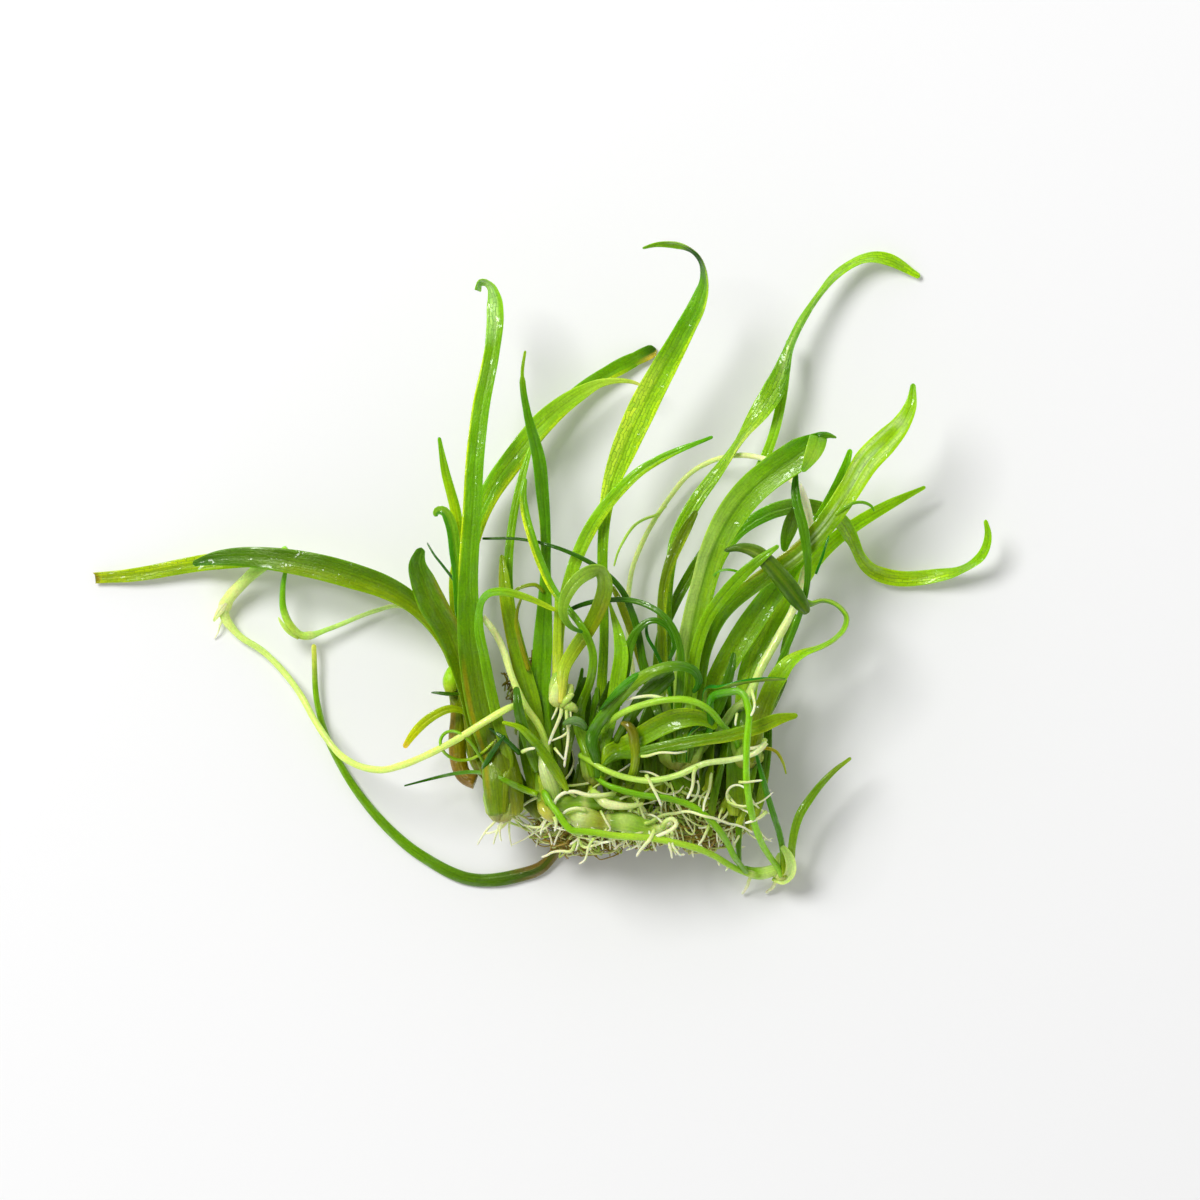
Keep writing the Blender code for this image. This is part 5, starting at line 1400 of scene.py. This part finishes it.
def felt(name, space, brown, pale, stands_for=(), fine=FINE, coarse=COARSE, loose=1.1):
    """A felt of so many brown and so many pale strands."""
    skins = strands(*space, brown, fine, ROOT_BROWN) + strands(*space, pale, coarse, ROOT_PALE, loose)
    grown(name, skins, felt_finish, "root_tissue", *stands_for)


for node in ("roots_left", "roots_right"):
    middle, half = node_space(node)
    felt(node + "_felt", (middle + FELT_RAISED, half * FELT_FILL), 170, 100, [node], loose=1.15)
felt("roots_middle_felt", (on_sheet((64.4, 82.2, 3.6)), np.array([2.4, 3.0, 3.2])), 50, 50)
behind = on_sheet((52.5, 68.2, 5.4)), np.array([2.3, 3.2, 1.8])
felt("roots_behind_felt", behind, 80, 50, fine=(0.12, 0.24), coarse=(0.2, 0.34))

routed = [
    [(52.3, 75.0), (53.5, 74.7)],
    [(55.4, 81.4), (55.8, 82.2), (55.5, 83.0)],
    [(57.6, 84.0), (57.0, 85.0), (55.2, 85.1), (54.1, 85.6)],
    [(58.0, 84.0), (58.3, 84.5), (61.0, 84.0)],
    [(59.4, 83.6), (58.8, 84.8), (58.5, 85.7), (57.9, 86.2)],
    [(60.0, 81.0), (61.1, 82.5), (60.8, 83.2)],
    [(65.4, 82.8), (64.5, 84.3), (63.6, 85.5)],
    [(66.6, 82.8), (67.0, 84.5), (67.1, 85.7)],
    [(67.0, 82.6), (67.3, 84.5), (67.9, 85.4), (68.4, 85.2)],
    [(62.0, 80.6), (64.0, 81.2), (65.5, 81.5), (66.6, 82.5)],
    [(64.4, 82.2), (66.0, 81.5), (68.0, 80.8), (70.0, 81.2), (72.0, 82.0), (74.0, 82.4), (75.2, 83.1)],
    [(60.6, 80.2), (61.8, 80.5), (63.6, 80.2), (65.5, 80.3)],
    [(64.6, 77.4), (65.0, 78.3), (65.8, 79.5), (66.1, 80.5)],
    [(69.6, 76.6), (69.3, 77.3), (69.0, 79.0), (68.7, 79.8)],
    [(68.2, 79.0), (69.0, 79.5), (71.2, 79.7)],
    [(71.2, 77.0), (71.0, 78.3), (70.5, 79.5), (70.3, 81.0)],
    [(71.0, 77.9), (71.5, 78.1), (74.0, 78.2)],
    [(73.8, 78.0), (75.2, 77.9), (76.0, 77.9)],
    [(72.2, 78.0), (72.5, 79.0), (72.8, 80.5), (74.2, 82.0)],
    [(74.0, 78.6), (74.0, 79.5), (74.3, 81.5), (74.2, 83.0)],
    [(76.5, 81.0), (75.5, 81.7), (74.4, 82.2)],
    [(75.05, 68.9), (75.2, 69.6), (75.25, 70.4), (74.9, 71.5)],
    [(73.5, 71.3), (73.45, 72.4)],
    [(64.0, 75.5), (65.6, 75.2), (67.4, 75.1), (68.7, 75.0)],
]
skins = []
for path in routed:
    rows = lie([(x, y, 0.36) for x, y in path], draw.uniform(0.0, 0.25))
    points = np.array([on_sheet(row) for row in rows])
    points[:, :2] += 0.07 * np.sin(np.arange(len(points))[:, None] * 1.3 + draw.uniform(0, 6, 2))
    skins.append(root_skin(points, draw.uniform(0.3, 0.44), ROOT_WHITE))

# The rest start anywhere along the foot of the clump, the first few of them at its left end, and each keeps
# turning the same way until it would leave the clump.
STARTS, LEFT_STARTS = 110, 16
START_X, START_Y, LEFT_X, LEFT_Y = (54.5, 76.0), (78.0, 82.6), (49.2, 52.6), (80.2, 82.0)
HEADINGS = [-2.9, -2.2, -1.57, -1.1, -0.4]
ROOT_STEP, ROOTS_WITHIN, ROOTS_END = 0.5, (47.6, 77.4), 85.0

for index in range(STARTS):
    x, y = draw.uniform(*START_X), draw.uniform(*START_Y)
    if index < LEFT_STARTS:
        x, y = draw.uniform(*LEFT_X), draw.uniform(*LEFT_Y)
    heading = draw.choice(HEADINGS) + draw.normal(0, 0.5)
    turning = draw.normal(0, 0.16)
    path = [(x, y, 0.3)]
    for _ in range(draw.integers(6, 16)):
        heading += turning + draw.normal(0, 0.05)
        x, y = x + ROOT_STEP * np.cos(heading), y - ROOT_STEP * np.sin(heading)
        if y > ROOTS_END or not ROOTS_WITHIN[0] < x < ROOTS_WITHIN[1]:
            break
        path.append((x, y, 0.3))
    rows = lie(path, sink=draw.uniform(0.55, 0.95))
    if len(path) > 3 and rows[0, 2] > 1:
        points = np.array([on_sheet(row) for row in rows])
        skins.append(root_skin(points, draw.uniform(0.2, 0.36), ROOT_WHITE))
grown("white_roots", skins, root_finish, "root_tissue")

threads = [
    (0.22, (22.5, 61.7, 1), (22, 62.6, 0.9), (21.8, 63.3, 0.5), (21.4, 63.9, 0.2)),
    (0.46, (75.2, 87.2, 3.4), (74.9, 87.9, 2.7), (74.7, 88.6, 1.4), (74.2, 89.4, 0.4)),
    (0.5, (77.6, 87.2, 2.3), (77.5, 88.1, 1.6), (77.2, 88.8, 0.9), (76.5, 89.3, 0.4)),
    (0.5, (61.4, 79.2, 9.2), (60.4, 79.35, 10.4), (58.8, 79.35, 10.8), (57.3, 79, 10.8),
     (56.4, 79.15, 10.9), (55.8, 79.6, 10.8), (55.45, 80.3, 10.3), (55.4, 80.9, 9.8)),
    (0.42, (66.8, 69.9, 14.6), (65.2, 69.5, 14.1), (63.8, 69.6, 13.4), (62.5, 69.9, 12.8)),
    (0.42, (58.6, 80.9, 10.3), (57.7, 80.65, 10.6), (56.9, 80.8, 10.5), (56.3, 81.2, 10)),
    (0.5, (76.4, 73.8, 10.6), (76.2, 74.3, 10.9), (75.6, 74.6, 11.6), (74.9, 74.7, 12.2),
     (74.4, 74.6, 12.8)),
    (0.46, (56.2, 70.2, 10.3), (56.15, 71.2, 10.5), (55.75, 72.3, 10.3), (55.3, 73.3, 10),
     (54.9, 74.4, 9.8)),
    (0.3, (55.9, 70.3, 10.3), (55.6, 71.1, 10.4), (55.2, 71.9, 10.2)),
    (0.42, (56.7, 70.6, 10.4), (56.7, 71.6, 10.6), (56.85, 72.9, 10.4), (56.8, 74.2, 10.2),
     (56.6, 75.4, 10.2), (56.45, 76.6, 10.2)),
    (0.26, (57.05, 70.7, 10.4), (57.1, 71.6, 10.6), (57, 72.6, 10.5)),
    (0.28, (57, 72.9, 10.4), (56.3, 73.5, 10.3), (55.6, 73.8, 10), (54.9, 74.1, 9.7)),
    (0.34, (55.5, 74.7, 9.9), (55.9, 75.2, 10.3), (56.5, 75.9, 10.3)),
    (0.55, (66.2, 82.6, 9.3), (66.6, 81.9, 10), (67.2, 81.7, 10.2), (67.6, 82.2, 10.2),
     (67.2, 82.7, 10.2), (66.2, 83.2, 10.3), (65.3, 83.6, 10), (64.6, 84.1, 9.4)),
    (0.3, (67.1, 84.2, 9.2), (67.1, 84.9, 8.9), (67.1, 85.5, 8.5)),
    (0.24, (67.2, 84.6, 9), (67.4, 85, 8.8), (67.6, 85.4, 8.5)),
    (0.26, (69.2, 84.7, 8.3), (69.2, 85.2, 8), (69.3, 85.6, 7.8)),
    (0.3, (71.8, 85.7, 6.5), (71.8, 86.2, 6.3), (71.9, 86.5, 6.1)),
    (0.3, (72.8, 86.3, 5.6), (72.7, 86.7, 5.5), (72.5, 87, 5.3)),
]
skins = [root_skin([on_sheet(row) for row in rows], width, ROOT_WHITE) for width, *rows in threads]
grown("thread_roots", skins, root_finish, "root_tissue")
knobs = (
    ((57.7, 71.0, 10.2, 0.45), (57.2, 70.6, 10.5, 0.95), (56.6, 70.4, 10.5, 0.9), (56.0, 70.0, 10.3, 0.8)),
    ((57.3, 69.3, 10.7, 0.4), (57.0, 69.6, 10.9, 0.6), (56.5, 70.1, 10.9, 0.65), (56.2, 70.6, 10.6, 0.5)),
    ((57.1, 68.4, 10.0, 0.5), (57.0, 69.0, 10.2, 0.8), (56.6, 69.8, 10.2, 0.8)),
)
KNOB_TONES = {0: (165, 200, 80), 0.5: (185, 215, 110), 1: (205, 225, 140)}
skins = [small_stem(rows, KNOB_TONES, wave=0.1) for rows in knobs]
grown("crown_small_knobs", skins, runner_finish, "crown_tissue")

# The surface, the light and the view
# The clump lies on a plain white table. One broad soft lamp stands at the upper left, the room is bright all
# round, and the camera looks straight down from far above.
TABLE = 8
WHITE = (0.9, 0.9, 0.9, 1)
LAMP_PLACE, LAMP_SIZE, LAMP_POWER = (-0.42, 0.4, 0.75), 0.42, 7.2
WALLS, CEILING = 1.05, 0.2  # how bright the room is low down and overhead
PICTURE, PICTURE_MIDDLE = 0.12, (60, 60, 0)  # width of what the camera sees, and its middle on the sheet
CAMERA_HEIGHT, SENSOR = 1.3, 36

bpy.ops.mesh.primitive_plane_add(size=TABLE, location=(0, 0, 0))
table = bpy.context.object
table.name = "table"
table_finish = bpy.data.materials.new("white_table")
table_finish.use_nodes = True
table_shader = table_finish.node_tree.nodes["Principled BSDF"]
table_shader.inputs["Base Color"].default_value = WHITE
table_shader.inputs["Roughness"].default_value = 0.7
table_shader.inputs["Specular IOR Level"].default_value = 0.2
table.data.materials.append(table_finish)

lamp = bpy.data.lights.new("soft_lamp", "AREA")
lamp.shape = "DISK"
lamp.size = LAMP_SIZE
lamp.energy = LAMP_POWER
lamp_stand = bpy.data.objects.new("soft_lamp", lamp)
lamp_stand.location = LAMP_PLACE
lamp_stand.rotation_euler = (-Vector(lamp_stand.location)).to_track_quat("-Z", "Y").to_euler()
bpy.context.scene.collection.objects.link(lamp_stand)

room = bpy.data.worlds.new("bright_room")
room.use_nodes = True
skyward = shade(room, "ShaderNodeTexCoord").outputs["Generated"]
height = shade(room, "ShaderNodeSeparateXYZ", {0: skyward}).outputs["Z"]
brightness = between(room, height, WALLS, CEILING, 0.1, 0.95)
background = room.node_tree.nodes["Background"].inputs
room.node_tree.links.new(brightness, background["Strength"])
background["Color"].default_value = (1, 1, 1, 1)
bpy.context.scene.world = room
bpy.context.scene.view_settings.view_transform = "Standard"

camera = bpy.data.cameras.new("camera")
camera.sensor_width = SENSOR
camera.lens = camera.sensor_width * CAMERA_HEIGHT / PICTURE
camera.clip_start, camera.clip_end = 0.1, 20
camera_stand = bpy.data.objects.new("camera", camera)
camera_stand.location = (*(on_sheet(PICTURE_MIDDLE)[:2] * MM), CAMERA_HEIGHT)
bpy.context.scene.collection.objects.link(camera_stand)
bpy.context.scene.camera = camera_stand

bpy.context.view_layer.update()
